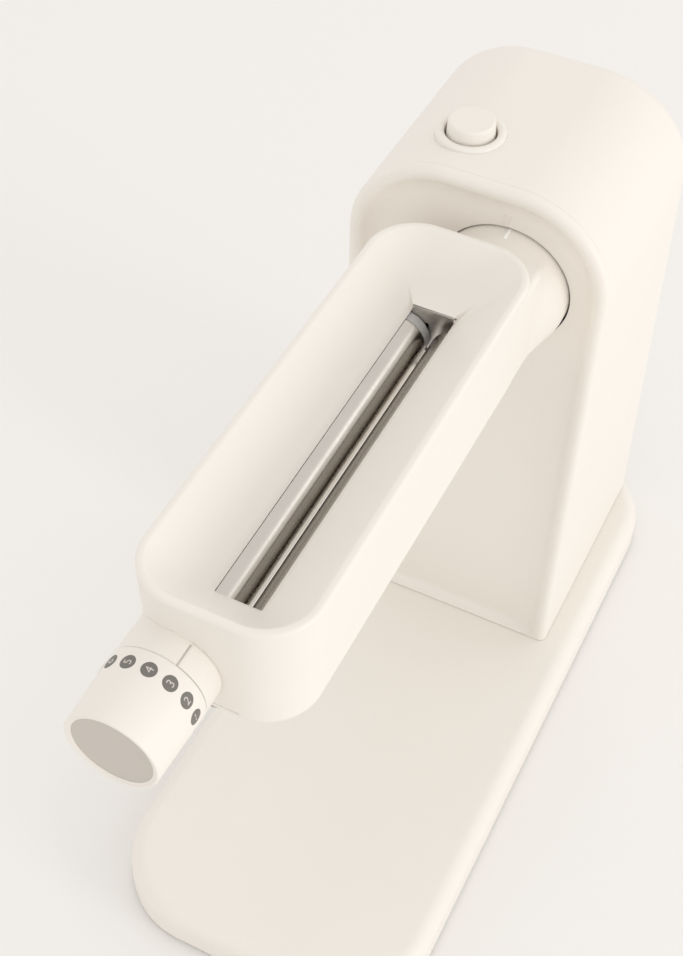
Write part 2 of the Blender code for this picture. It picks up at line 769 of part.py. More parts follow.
def layer(number):
    """Front and back depth of a layer of wheels, counted from the gearbox plate."""
    front = GEAR_SPACE + number * LAYER_PITCH
    return front, front + GEAR_LAYER


def make_wheel(name, teeth, axis, partner, front, back, meets_tooth, material):
    """A toothed wheel with a tooth, or a gap, turned to its partner's axis."""
    height = GEAR_MODULE * TOOTH_HEIGHT_SHARE
    tip = GEAR_MODULE * teeth / 2 + (height - GEAR_MODULE * TOOTH_PLAY_SHARE) / 2
    lean = math.degrees(math.atan2(partner[1] - axis[1], partner[0] - axis[0]))
    if not meets_tooth:
        lean += 180.0 / teeth
    outline = gear_outline(teeth, tip, height, axis, lean)
    return loft(name, [along_y(outline, front), along_y(outline, back)], material)


def make_gears():
    output, second, first, motor = gear_axes()
    low, high = layer(0)
    output_gear = make_wheel("output_gear", OUTPUT_WHEEL_TEETH, output, second, low, high, False, WHEEL_NYLON)
    cut(output_gear, cylinder_y("output_gear_bore", OUTPUT_SHAFT_RADIUS + GAP, output,
                                low - CUT_OVERRUN, high + CUT_OVERRUN, sides=INNER_SIDES))
    inside = high + LAYER_PITCH - GEAR_LAYER / 2
    second_pinion = make_wheel("second_pinion", SECOND_PINION_TEETH, second, output, low, inside, True, None)
    low, high = layer(1)
    second_gear = make_wheel("second_gear", SECOND_WHEEL_TEETH, second, first, low, high, False, WHEEL_NYLON)
    fuse(second_gear, second_pinion)
    inside = high + LAYER_PITCH - GEAR_LAYER / 2
    first_pinion = make_wheel("first_pinion", FIRST_PINION_TEETH, first, second, low, inside, True, None)
    low, high = layer(2)
    first_gear = make_wheel("first_gear", FIRST_WHEEL_TEETH, first, motor, low, high, False, WHEEL_NYLON)
    fuse(first_gear, first_pinion)
    motor_pinion = make_wheel("motor_pinion", MOTOR_PINION_TEETH, motor, first, low, high, True, BRONZE)
    cut(motor_pinion, cylinder_y("motor_pinion_bore", MOTOR_SHAFT_RADIUS + GAP, motor,
                                 low - CUT_OVERRUN, high + CUT_OVERRUN))
    front = FRONT_PLATE_DEPTH + CHASSIS_THICKNESS + GAP
    back = CHASSIS_DEPTH - GAP
    for gear, axis in ((second_gear, second), (first_gear, first)):
        name = gear.name + "_axle"
        cylinder_y(name, AXLE_RADIUS, axis, front, back, POLISHED)
        bore = cylinder_y(name + "_bore", AXLE_RADIUS + RUNNING_PLAY, axis, front, back)
        cut(gear, bore)
        carry(pivot(gear.name + "_pivot", (axis[0], y_at(front), axis[1])), gear)
    return output_gear, motor_pinion


def make_output(output_gear):
    """The socket head that drives the roller head, with its shaft, wheel and two bearings."""
    output = DRIVE_AXIS
    head_back = OUTPUT_HEAD_FRONT + OUTPUT_HEAD_LENGTH
    end = CHASSIS_DEPTH + BEARING_LENGTH
    profile = [
        (0.0, OUTPUT_HEAD_FRONT),
        (OUTPUT_HEAD_RADIUS, OUTPUT_HEAD_FRONT),
        (OUTPUT_HEAD_RADIUS, head_back),
        (OUTPUT_SHAFT_RADIUS, head_back),
        (OUTPUT_SHAFT_RADIUS, end),
        (0.0, end),
    ]
    shaft = turned_y("output_shaft", profile, output, POLISHED)
    cut(shaft, hex_y("output_socket", HEX_WIDTH + 2 * GAP, output,
                     OUTPUT_HEAD_FRONT - CUT_OVERRUN, HEX_REACH + BUSH_WALL / 2))
    inner = OUTPUT_SHAFT_RADIUS + RUNNING_PLAY
    outer = inner + BEARING_WIDTH
    plate_back = FRONT_PLATE_DEPTH + CHASSIS_THICKNESS
    ring_y("output_bearing_front", inner, outer, output, plate_back + GAP - BEARING_LENGTH,
           plate_back + GAP, BRONZE)
    ring_y("output_bearing_back", inner, outer, output, CHASSIS_DEPTH - GAP,
           CHASSIS_DEPTH - GAP + BEARING_LENGTH, BRONZE)
    carry(pivot("output_pivot", (output[0], y_at(OUTPUT_HEAD_FRONT), output[1])), shaft, output_gear)


def hex_y(name, across, axis, front, back, material=None):
    """A six-sided bar along Y, measured across its flats."""
    return cylinder_y(name, across / 2 / math.cos(math.pi / 6), axis, front, back, material, 6)


def make_chassis():
    output, _, first, motor = gear_axes()
    half = TOWER_WIDTH / 2 - CHASSIS_MARGIN
    back = CHASSIS_DEPTH + CHASSIS_THICKNESS
    chassis = box("chassis", (-half, y_at(CHASSIS_DEPTH), TOWER_FOOT),
                  (half, y_at(back), AXIS_Z + CHASSIS_RISE), SHEET)
    flange_front = back - CHASSIS_FLANGE
    fuse(chassis, box("chassis_flange", (-half, y_at(flange_front), TOWER_FOOT),
                      (half, y_at(CHASSIS_DEPTH + CHASSIS_THICKNESS / 2), TOWER_FOOT + CHASSIS_THICKNESS)))
    for number, spot in enumerate(board_peg_spots(), 1):
        fuse(chassis, cylinder_y("board_peg_%d" % number, PEG_RADIUS, spot,
                                 CHASSIS_DEPTH + CHASSIS_THICKNESS / 2, back + PEG_LENGTH))
    bearing = OUTPUT_SHAFT_RADIUS + RUNNING_PLAY + BEARING_WIDTH + GAP
    holes = {"bearing_seat_back": (output, bearing), "motor_shaft_hole": (motor, MOTOR_BOSS_RADIUS)}
    for name, (axis, radius) in holes.items():
        cut(chassis, cylinder_y(name, radius, axis, CHASSIS_DEPTH - CUT_OVERRUN, back + CUT_OVERRUN,
                                sides=INNER_SIDES))
    for number, spot in enumerate(chassis_screw_spots(), 1):
        cut(chassis, rod("flange_hole_%d" % number, SCREW_RADIUS + GAP, (*spot, BASE_TOP),
                         (*spot, TOWER_FOOT + CHASSIS_THICKNESS + CUT_OVERRUN)))
    plate_back = FRONT_PLATE_DEPTH + CHASSIS_THICKNESS
    left = BUTTON_X - FRONT_PLATE_MARGIN
    low = (left, y_at(FRONT_PLATE_DEPTH), first[1] - 2 * FRONT_PLATE_MARGIN)
    high = (left + FRONT_PLATE_WIDTH, y_at(plate_back), TOWER_TOP - SWITCH_DROP)
    plate = box("gearbox_plate", low, high, SHEET)
    cut(plate, cylinder_y("bearing_seat_front", bearing, output, FRONT_PLATE_DEPTH - CUT_OVERRUN,
                          plate_back + CUT_OVERRUN, sides=INNER_SIDES))
    for number, (across, drop) in enumerate(PILLAR_OFFSETS, 1):
        spot = (output[0] + across, output[1] - drop)
        cylinder_y("gearbox_pillar_%d" % number, PILLAR_RADIUS, spot, plate_back + GAP,
                   CHASSIS_DEPTH - GAP, SHEET)


def make_socket_cup():
    """The round well behind the front panel that the roller head's collar slides into."""
    inner = COLLAR_RADIUS + COLLAR_PLAY
    outer = inner + SOCKET_CUP_WALL
    hole = OUTPUT_SHAFT_RADIUS + RUNNING_PLAY + BEARING_WIDTH + 2 * GAP
    front = PANEL_BACK + GAP
    back = FRONT_PLATE_DEPTH - GAP
    profile = [
        (outer, front),
        (outer, back),
        (hole, back),
        (hole, back - SOCKET_CUP_WALL),
        (inner, back - SOCKET_CUP_WALL),
        (inner, front),
    ]
    turned_y("socket_cup", profile, DRIVE_AXIS, GREY_NYLON, ROUND_SIDES, closed=True)


def make_motor(motor_pinion):
    motor = gear_axes()[3]
    front = CHASSIS_DEPTH + CHASSIS_THICKNESS + GAP
    back = front + MOTOR_LENGTH
    bore = MOTOR_SHAFT_RADIUS + RUNNING_PLAY
    can = [
        (MOTOR_RADIUS, front),
        (MOTOR_RADIUS, back),
        (MOTOR_RADIUS - MOTOR_WALL, back),
        (MOTOR_RADIUS - MOTOR_WALL, front + MOTOR_WALL),
        (bore, front + MOTOR_WALL),
        (bore, front),
    ]
    turned_y("motor_can", can, motor, SHEET, closed=True)
    cap_front = back + GAP
    cap_back = cap_front + MOTOR_CAP_LENGTH
    shaft_end = cap_front + MOTOR_CAP_LENGTH / 2
    cap = [
        (0.0, shaft_end + GAP),
        (bore, shaft_end + GAP),
        (bore, cap_front),
        (MOTOR_RADIUS, cap_front),
        (MOTOR_RADIUS, cap_back),
        (0.0, cap_back),
    ]
    turned_y("motor_end_cap", cap, motor, BLACK_PLASTIC)
    core = MOTOR_RADIUS - 2 * MOTOR_WALL
    rotor = [
        (0.0, layer(2)[0]),
        (MOTOR_SHAFT_RADIUS, layer(2)[0]),
        (MOTOR_SHAFT_RADIUS, front + 2 * MOTOR_WALL),
        (core, front + 2 * MOTOR_WALL),
        (core, back - MOTOR_WALL),
        (MOTOR_SHAFT_RADIUS, back - MOTOR_WALL),
        (MOTOR_SHAFT_RADIUS, shaft_end),
        (0.0, shaft_end),
    ]
    shaft = turned_y("motor_rotor", rotor, motor, POLISHED)
    carry(pivot("motor_pivot", (motor[0], y_at(front), motor[1])), shaft, motor_pinion)


# Circuit board, inlet and leads

def board_peg_spots():
    side = BOARD_WIDTH / 2 - 2 * PEG_RADIUS
    low = TOWER_FOOT + BOARD_FOOT + 2 * PEG_RADIUS
    high = low + BOARD_HEIGHT - 4 * PEG_RADIUS
    return [(-side, low), (side, low), (-side, high), (side, high)]


def inlet_corners(grow, overrun):
    """Corners of the power inlet's box, grown for the hole in the wall."""
    half = INLET_WIDTH / 2 + grow
    low = TOWER_FOOT + INLET_RISE
    back = back_depth(low) + INLET_PROUD
    return ((-half, y_at(back - INLET_LENGTH - overrun), low - grow),
            (half, y_at(back + overrun), low + INLET_HEIGHT + grow))


def make_electrics():
    front = CHASSIS_DEPTH + CHASSIS_THICKNESS + PEG_LENGTH + GAP
    back = front + BOARD_THICKNESS
    low = TOWER_FOOT + BOARD_FOOT
    half = BOARD_WIDTH / 2
    board = box("circuit_board", (-half, y_at(front), low), (half, y_at(back), low + BOARD_HEIGHT),
                BOARD_GREEN)
    capacitor = (-half / 2, low + BOARD_HEIGHT / 3)
    fuse(board, cylinder_y("capacitor", CAPACITOR_RADIUS, capacitor, front + BOARD_THICKNESS / 2,
                           back + CAPACITOR_LENGTH))
    corner, far_corner = inlet_corners(0.0, 0.0)
    inlet = box("power_inlet", corner, far_corner, BLACK_PLASTIC)
    room_low = (corner[0] + INLET_WALL, corner[1] + INLET_LENGTH / 3, corner[2] + INLET_WALL)
    room_high = (far_corner[0] - INLET_WALL, far_corner[1] + CUT_OVERRUN, far_corner[2] - INLET_WALL)
    cut(inlet, box("inlet_recess", room_low, room_high))
    for side, name in ((-1, "left"), (1, "right")):
        x = side * INLET_WIDTH / 5
        z = corner[2] + INLET_HEIGHT / 2
        fuse(inlet, rod("inlet_pin_" + name, INLET_PIN_RADIUS, (x, room_low[1] - INLET_WALL, z),
                        (x, far_corner[1] - 2 * INLET_WALL, z)))
    motor = gear_axes()[3]
    cap_back = CHASSIS_DEPTH + CHASSIS_THICKNESS + MOTOR_LENGTH + MOTOR_CAP_LENGTH + 3 * GAP
    clear = cap_back + 2 * LEAD_RADIUS
    top = low + BOARD_HEIGHT
    below = motor[1] - MOTOR_RADIUS
    lead("motor_lead", [
        (half / 3, y_at(back + GAP), top - 3 * PEG_RADIUS),
        (half / 3, y_at(back + 3 * LEAD_RADIUS), top - 3 * PEG_RADIUS),
        (half / 3, y_at((back + clear) / 2), top),
        (half / 6, y_at(clear), (top + below) / 2),
        (motor[0], y_at(clear), below),
        (motor[0], y_at(clear), motor[1] - 2 * MOTOR_RADIUS / 3),
        (motor[0], y_at(cap_back), motor[1] - 2 * MOTOR_RADIUS / 3),
    ], BLACK_PLASTIC)
    side = BUTTON_X - SWITCH_SIZE / 2 - 4 * LEAD_RADIUS
    wall_side = side - 6 * LEAD_RADIUS
    over = AXIS_Z + CHASSIS_RISE + 3 * LEAD_RADIUS
    switch_z = TOWER_TOP - SWITCH_DROP - SWITCH_HEIGHT / 2
    lead("switch_lead", [
        (-half / 2, y_at(back + GAP), top - 3 * PEG_RADIUS),
        (-half / 2, y_at(back + 3 * LEAD_RADIUS), top - 3 * PEG_RADIUS),
        (-half, y_at((back + clear) / 2), top + BOARD_FOOT),
        (wall_side, y_at((back + clear) / 2), motor[1]),
        (wall_side, y_at((back + clear) / 2), AXIS_Z),
        (wall_side, y_at(CHASSIS_DEPTH), over + LEAD_RADIUS),
        (wall_side, y_at(GEAR_SPACE), over + LEAD_RADIUS),
        (side, y_at(BUTTON_DEPTH), switch_z),
        (BUTTON_X - SWITCH_SIZE / 2 - GAP, y_at(BUTTON_DEPTH), switch_z),
    ], BLACK_PLASTIC)


# Roller head

def shell_outline(half, near, far, near_corner, far_corner):
    """A plan outline with its own corner radius at each end."""
    points = []
    points += arc(half - far_corner, y_at(far) - far_corner, far_corner, 0.0, 90.0, CORNER_STEPS)
    points += arc(far_corner - half, y_at(far) - far_corner, far_corner, 90.0, 180.0, CORNER_STEPS)
    points += arc(near_corner - half, y_at(near) + near_corner, near_corner, 180.0, 270.0, CORNER_STEPS)
    points += arc(half - near_corner, y_at(near) + near_corner, near_corner, 270.0, 360.0, CORNER_STEPS)
    return points


def head_outline(inset):
    corner = HEAD_CORNER - inset
    return shell_outline(HEAD_WIDTH / 2 - inset, HEAD_NEAR + inset, HEAD_FAR - inset, corner, corner)


def slot_outline(grow):
    corner = SLOT_CORNER + grow
    return shell_outline(SLOT_WIDTH / 2 + grow, SLOT_NEAR - grow, SLOT_FAR + grow, corner, corner)


def room_outline(inset):
    """The space under the tray, which ends in front of the thick wall at the collar."""
    return shell_outline(HEAD_WIDTH / 2 - inset, HEAD_NEAR + inset, BULKHEAD_FRONT,
                         HEAD_CORNER - inset, ROOM_CORNER)


def collar_section(depth, share):
    """Between the head's own cross-section, at share 0, and the round collar, at share 1."""
    half = HEAD_WIDTH / 2 - GAP / 2
    corners = rounded_rectangle(-half, half, WALL_BOTTOM + GAP / 2, RIM_Z - COLLAR_TOP_DROP,
                                COLLAR_ROUND, COLLAR_STEPS)
    points = []
    for number, (x, z) in enumerate(corners):
        x *= 1 - HEAD_TAPER * (RIM_Z - z) / (RIM_Z - WALL_BOTTOM) / half
        angle = 2 * math.pi * (number + 0.5) / len(corners)
        round_x = DRIVE_AXIS[0] + COLLAR_RADIUS * math.cos(angle)
        round_z = DRIVE_AXIS[1] + COLLAR_RADIUS * math.sin(angle)
        points.append((x + (round_x - x) * share, y_at(depth), z + (round_z - z) * share))
    return points


def make_collar():
    begin = HEAD_FAR - COLLAR_START
    sections = [collar_section(HEAD_FAR - HEAD_CORNER - COLLAR_ROUND, 0.0), collar_section(begin, 0.0)]
    for step in range(1, COLLAR_STEPS + 1):
        along = step / COLLAR_STEPS
        share = along * along * (3 - 2 * along)
        sections.append(collar_section(begin + (COLLAR_ROUND_DEPTH - begin) * along, share))
    sections.append(collar_section(COLLAR_REACH, 1.0))
    return loft("collar", sections)


def make_hopper_housing():
    """Tray, walls, knob neck and collar in one moulding, open below."""
    sections = []
    edge = arc(HEAD_BOTTOM_EDGE, HEAD_BOTTOM_EDGE, HEAD_BOTTOM_EDGE, 270.0, 180.0, EDGE_STEPS)
    for inset, rise in edge:
        sections.append(plan(head_outline(HEAD_TAPER + inset), WALL_BOTTOM + rise))
    for inset, rise in arc(RIM_EDGE, -RIM_EDGE, RIM_EDGE, 180.0, 90.0, EDGE_STEPS):
        sections.append(plan(head_outline(inset), RIM_Z + rise))
    housing = loft("hopper_housing", sections, SATIN)
    fuse(housing, make_collar())
    neck_front = HEAD_NEAR - NECK_LENGTH
    fuse(housing, cylinder_y("neck", NECK_RADIUS, ADJUST_AXIS, neck_front, HEAD_NEAR + NECK_ROOT,
                             sides=ROUND_SIDES))
    neck_left = ADJUST_AXIS[0] - NECK_RADIUS - GAP
    neck_right = ADJUST_AXIS[0] + NECK_RADIUS + GAP
    cut(housing, box("neck_underside", (neck_left, y_at(HEAD_NEAR), WALL_BOTTOM - CUT_OVERRUN),
                     (neck_right, y_at(HEAD_NEAR + NECK_ROOT + GAP), WALL_BOTTOM)))
    room = [
        plan(room_outline(HEAD_TAPER + HEAD_WALL), WALL_BOTTOM - CUT_OVERRUN),
        plan(room_outline(HEAD_WALL), RIM_Z - ROOF_DROP),
        plan(slot_outline(SLOT_LAND), SLOT_Z - SLOT_LAND),
    ]
    cut(housing, loft("under_tray", room))
    tray = [
        plan(slot_outline(0.0), SLOT_Z - SLOT_LAND - CUT_OVERRUN),
        plan(slot_outline(0.0), SLOT_Z),
        plan(head_outline(RIM_LAND + TRAY_LIP_DROP / 2), RIM_Z - TRAY_LIP_DROP),
        plan(head_outline(RIM_LAND), RIM_Z),
        plan(head_outline(RIM_LAND), RIM_Z + CUT_OVERRUN),
    ]
    cut(housing, loft("tray", tray))
    cut(housing, cylinder_y("neck_bore", NECK_RADIUS - NECK_WALL, ADJUST_AXIS,
                            neck_front - CUT_OVERRUN, HEAD_NEAR, sides=ROUND_SIDES))
    cut(housing, cylinder_y("adjust_shaft_hole", ADJUST_SHAFT_RADIUS + RUNNING_PLAY, ADJUST_AXIS,
                            HEAD_NEAR - CUT_OVERRUN, HEAD_NEAR + HEAD_WALL + CUT_OVERRUN))
    cut(housing, cylinder_y("stop_seat", WASHER_RADIUS + RUNNING_PLAY, ADJUST_AXIS,
                            HEAD_NEAR + HEAD_WALL, HEAD_NEAR + HEAD_WALL + WASHER_RADIUS,
                            sides=INNER_SIDES))
    cut(housing, cylinder_y("collar_bore", COLLAR_RADIUS - COLLAR_WALL, DRIVE_AXIS,
                            COLLAR_ROUND_DEPTH, COLLAR_REACH + CUT_OVERRUN, sides=ROUND_SIDES))
    cut(housing, cylinder_y("bulkhead_recess", RECESS_RADIUS, DRIVE_AXIS,
                            BULKHEAD_FRONT + BULKHEAD_WALL, COLLAR_ROUND_DEPTH + CUT_OVERRUN,
                            sides=INNER_SIDES))
    cut(housing, cylinder_y("coupling_hole", COUPLING_RADIUS + RUNNING_PLAY, DRIVE_AXIS,
                            BULKHEAD_FRONT - CUT_OVERRUN, BULKHEAD_FRONT + BULKHEAD_WALL + CUT_OVERRUN,
                            sides=INNER_SIDES))
    top = DRIVE_AXIS[1] + COLLAR_RADIUS
    half = MARK_WIDTH / 2
    cut(housing, box("collar_notch", (DRIVE_AXIS[0] - half, y_at(COLLAR_ROUND_DEPTH), top - MARK_WIDTH),
                     (DRIVE_AXIS[0] + half, y_at(RECESS_DEPTH), top + MARK_WIDTH)))
    turn = math.radians(INDEX_ANGLE)
    groove_start = NECK_RADIUS - INDEX_GROOVE
    start = (ADJUST_AXIS[0] + groove_start * math.cos(turn), ADJUST_AXIS[1] + groove_start * math.sin(turn))
    reach = NECK_RADIUS + INDEX_GROOVE
    end = (ADJUST_AXIS[0] + reach * math.cos(turn), ADJUST_AXIS[1] + reach * math.sin(turn))
    side = (-INDEX_WIDTH / 2 * math.sin(turn), INDEX_WIDTH / 2 * math.cos(turn))
    outline = [(start[0] - side[0], start[1] - side[1]), (end[0] - side[0], end[1] - side[1]),
               (end[0] + side[0], end[1] + side[1]), (start[0] + side[0], start[1] + side[1])]
    cut(housing, loft("index_groove", [along_y(outline, neck_front - CUT_OVERRUN),
                                       along_y(outline, HEAD_NEAR - INDEX_GROOVE)]))
    near_screw, far_screw = cover_screw_spots()
    boss_top = WALL_BOTTOM + COVER_BOSS_HEIGHT
    fuse(housing, rod("cover_boss", COVER_BOSS_RADIUS, (*near_screw, WALL_BOTTOM), (*near_screw, boss_top)))
    for number, spot in enumerate((near_screw, far_screw), 1):
        low = (*spot, WALL_BOTTOM - CUT_OVERRUN)
        high = (*spot, WALL_BOTTOM + COVER_SCREW_HOLE)
        cut(housing, rod("cover_screw_hole_%d" % number, SCREW_RADIUS + GAP, low, high))
    return housing


def cover_screw_spots():
    """One screw at the near wall, one in the solid corner beside the thick wall."""
    near = (0.0, y_at(HEAD_NEAR + HEAD_TAPER + HEAD_WALL + COVER_BOSS_RADIUS - BUTTON_EDGE))
    far = (-HEAD_WIDTH / 2 + FAR_SCREW_INSET, y_at(BULKHEAD_FRONT - FAR_SCREW_INSET / 2))
    return near, far


def make_bottom_cover():
    half = HEAD_WIDTH / 2 - HEAD_TAPER - COVER_INSET
    near = HEAD_NEAR + HEAD_TAPER + COVER_INSET
    far = HEAD_FAR - COLLAR_START - COVER_INSET
    outline = shell_outline(half, near, far, HEAD_CORNER - HEAD_TAPER - COVER_INSET, SLOT_LAND)
    low = COVER_TOP - COVER_THICKNESS
    cover = loft("head_bottom_cover", [plan(outline, low), plan(outline, COVER_TOP)], SATIN)
    cut(cover, box("outlet", (-OUTLET_WIDTH / 2, y_at(SLOT_NEAR), low - CUT_OVERRUN),
                   (OUTLET_WIDTH / 2, y_at(SLOT_FAR), COVER_TOP + CUT_OVERRUN)))
    screws = []
    for name, spot in zip(("near", "far"), cover_screw_spots()):
        cut(cover, rod("cover_hole_" + name, SCREW_RADIUS + GAP, (*spot, low - CUT_OVERRUN),
                       (*spot, COVER_TOP + CUT_OVERRUN)))
        screws.append(screw_up("cover_screw_" + name, spot, low, SHEET))
    return [cover] + screws


def make_side_plate(name, front):
    """A steel plate with a round seat for the drive bush and a slot for the sliding carrier."""
    back = front + SIDE_PLATE_THICKNESS
    half = HEAD_WIDTH / 2 - HEAD_TAPER - HEAD_WALL - SIDE_PLATE_MARGIN
    plate = box(name, (-half, y_at(front), COVER_TOP + GAP),
                (half, y_at(back), SLOT_Z - SLOT_LAND - GAP), SHEET)
    seat = JOURNAL_RADIUS + RUNNING_PLAY + BUSH_WALL + GAP
    cut(plate, cylinder_y(name + "_seat", seat, DRIVE_AXIS, front - CUT_OVERRUN, back + CUT_OVERRUN,
                          sides=INNER_SIDES))
    low = (ADJUST_AXIS[0] - CARRIER_WIDTH / 2 - CARRIER_OPENING_TRAVEL - GAP, y_at(front - CUT_OVERRUN),
           ADJUST_AXIS[1] - CARRIER_HEIGHT / 2 - RUNNING_PLAY)
    high = (ADJUST_AXIS[0] + CARRIER_WIDTH / 2 + CARRIER_CLOSING_TRAVEL + GAP, y_at(back + CUT_OVERRUN),
            ADJUST_AXIS[1] + CARRIER_HEIGHT / 2 + RUNNING_PLAY)
    cut(plate, box(name + "_slot", low, high))
    return plate


def make_carrier(name, front):
    low = (ADJUST_AXIS[0] - CARRIER_WIDTH / 2, y_at(front), ADJUST_AXIS[1] - CARRIER_HEIGHT / 2)
    high = (ADJUST_AXIS[0] + CARRIER_WIDTH / 2, y_at(front + BUSH_LENGTH),
            ADJUST_AXIS[1] + CARRIER_HEIGHT / 2)
    block = box(name, low, high, BRONZE)
    cut(block, cylinder_y(name + "_bore", JOURNAL_RADIUS + RUNNING_PLAY, ADJUST_AXIS,
                          front - CUT_OVERRUN, front + BUSH_LENGTH + CUT_OVERRUN, sides=INNER_SIDES))
    return block


def make_scraper(name, side):
    """A blade along one roller's lower outer side, on a foot that lies on the cover."""
    turn = math.radians(SCRAPER_ANGLE)
    reach = ROLLER_RADIUS + SCRAPER_PLAY
    tip_x = ROLLER_PITCH + reach * math.cos(turn)
    tip_z = AXIS_Z + reach * math.sin(turn)
    foot = COVER_TOP + GAP
    outline = [
        (tip_x, foot),
        (tip_x + SCRAPER_FOOT, foot),
        (tip_x + SCRAPER_FOOT, foot + SCRAPER_FOOT_HEIGHT),
        (tip_x + SCRAPER_TIP, foot + SCRAPER_FOOT_HEIGHT),
        (tip_x + SCRAPER_TIP, tip_z),
        (tip_x, tip_z),
    ]
    outline = [(side * x, z) for x, z in outline]
    ends = (SLOT_NEAR + 2 * COVER_INSET, SLOT_FAR - 2 * COVER_INSET - END_RING_LENGTH)
    return loft(name, [along_y(outline, depth) for depth in ends], SHEET)


def make_tie_rod(name, side):
    spot = (side * (HEAD_WIDTH / 2 - HEAD_TAPER - HEAD_WALL - SIDE_PLATE_MARGIN - TIE_ROD_RADIUS),
            AXIS_Z - TIE_ROD_DROP)
    return cylinder_y(name, TIE_ROD_RADIUS, spot, SLOT_NEAR, SLOT_FAR, POLISHED)


def make_roller(name, axis, journal_end):
    profile = [
        (0.0, BARREL_NEAR - JOURNAL_NEAR_LENGTH),
        (JOURNAL_RADIUS, BARREL_NEAR - JOURNAL_NEAR_LENGTH),
        (JOURNAL_RADIUS, BARREL_NEAR),
        (ROLLER_RADIUS - END_RING_LIP, BARREL_NEAR),
        (ROLLER_RADIUS, BARREL_NEAR + END_RING_LIP),
        (ROLLER_RADIUS, BARREL_FAR - END_RING_LIP),
        (ROLLER_RADIUS - END_RING_LIP, BARREL_FAR),
        (JOURNAL_RADIUS, BARREL_FAR),
        (JOURNAL_RADIUS, journal_end),
        (0.0, journal_end),
    ]
    return turned_y(name, profile, axis, POLISHED, ROUND_SIDES)


def make_roller_gear(name, axis, lean):
    outline = gear_outline(ROLLER_GEAR_TEETH, ROLLER_PITCH + ROLLER_GEAR_TIP, ROLLER_GEAR_TOOTH, axis, lean)
    back = ROLLER_GEAR_FRONT + ROLLER_GEAR_LENGTH
    gear = loft(name, [along_y(outline, ROLLER_GEAR_FRONT), along_y(outline, back)], SHEET)
    cut(gear, cylinder_y(name + "_bore", JOURNAL_RADIUS + GAP, axis, ROLLER_GEAR_FRONT - CUT_OVERRUN,
                         back + CUT_OVERRUN, sides=INNER_SIDES))
    return gear


def make_roller_head():
    head = pivot("head_pivot", (DRIVE_AXIS[0], y_at(COLLAR_REACH), DRIVE_AXIS[1]))
    near_front = BARREL_NEAR - GAP - BUSH_LENGTH
    far_front = SLOT_FAR
    inner = JOURNAL_RADIUS + RUNNING_PLAY
    fixed = [
        make_hopper_housing(),
        make_side_plate("side_plate_near", SLOT_NEAR - GAP - SIDE_PLATE_THICKNESS),
        make_side_plate("side_plate_far", SLOT_FAR + GAP),
        make_tie_rod("tie_rod_left", -1),
        make_tie_rod("tie_rod_right", 1),
        make_scraper("scraper_left", -1),
        make_scraper("scraper_right", 1),
        ring_y("drive_bush_near", inner, inner + BUSH_WALL, DRIVE_AXIS, near_front,
               near_front + BUSH_LENGTH, BRONZE),
        ring_y("drive_bush_far", inner, inner + BUSH_WALL, DRIVE_AXIS, far_front,
               far_front + BUSH_LENGTH, BRONZE),
    ]
    carry(head, *fixed, *make_bottom_cover())

    gear_back = ROLLER_GEAR_FRONT + ROLLER_GEAR_LENGTH
    coupling_front = gear_back + GAP
    coupling_back = coupling_front + COUPLING_LENGTH
    coupling = cylinder_y("drive_coupling", COUPLING_RADIUS, DRIVE_AXIS, coupling_front, coupling_back,
                          SHEET, INNER_SIDES)
    fuse(coupling, hex_y("coupling_hex", HEX_WIDTH, DRIVE_AXIS, coupling_back - HEX_WIDTH, HEX_REACH))
    journal_end = coupling_front + COUPLING_GRIP
    cut(coupling, cylinder_y("coupling_bore", JOURNAL_RADIUS + GAP, DRIVE_AXIS,
                             coupling_front - CUT_OVERRUN, journal_end + GAP, sides=INNER_SIDES))
    drive = pivot("drive_roller_pivot", (DRIVE_AXIS[0], y_at(BARREL_NEAR), DRIVE_AXIS[1]), head)
    carry(drive, make_roller("drive_roller", DRIVE_AXIS, journal_end),
          make_roller_gear("drive_roller_gear", DRIVE_AXIS, 180.0), coupling)

    carrier = pivot("carrier_pivot", (ADJUST_AXIS[0], y_at(BARREL_NEAR), ADJUST_AXIS[1]), head)
    carry(carrier, make_carrier("carrier_near", near_front), make_carrier("carrier_far", far_front))
    adjust = pivot("adjust_roller_pivot", (ADJUST_AXIS[0], y_at(BARREL_NEAR), ADJUST_AXIS[1]), carrier)
    ring = ring_y("adjust_roller_ring", inner, ROLLER_RADIUS - END_RING_LIP, ADJUST_AXIS,
                  BARREL_FAR + GAP, BARREL_FAR + GAP + END_RING_LENGTH, GREY_NYLON)
    carry(adjust, make_roller("adjust_roller", ADJUST_AXIS, gear_back), ring,
          make_roller_gear("adjust_roller_gear", ADJUST_AXIS, 180.0 / ROLLER_GEAR_TEETH))
    make_knob(head)


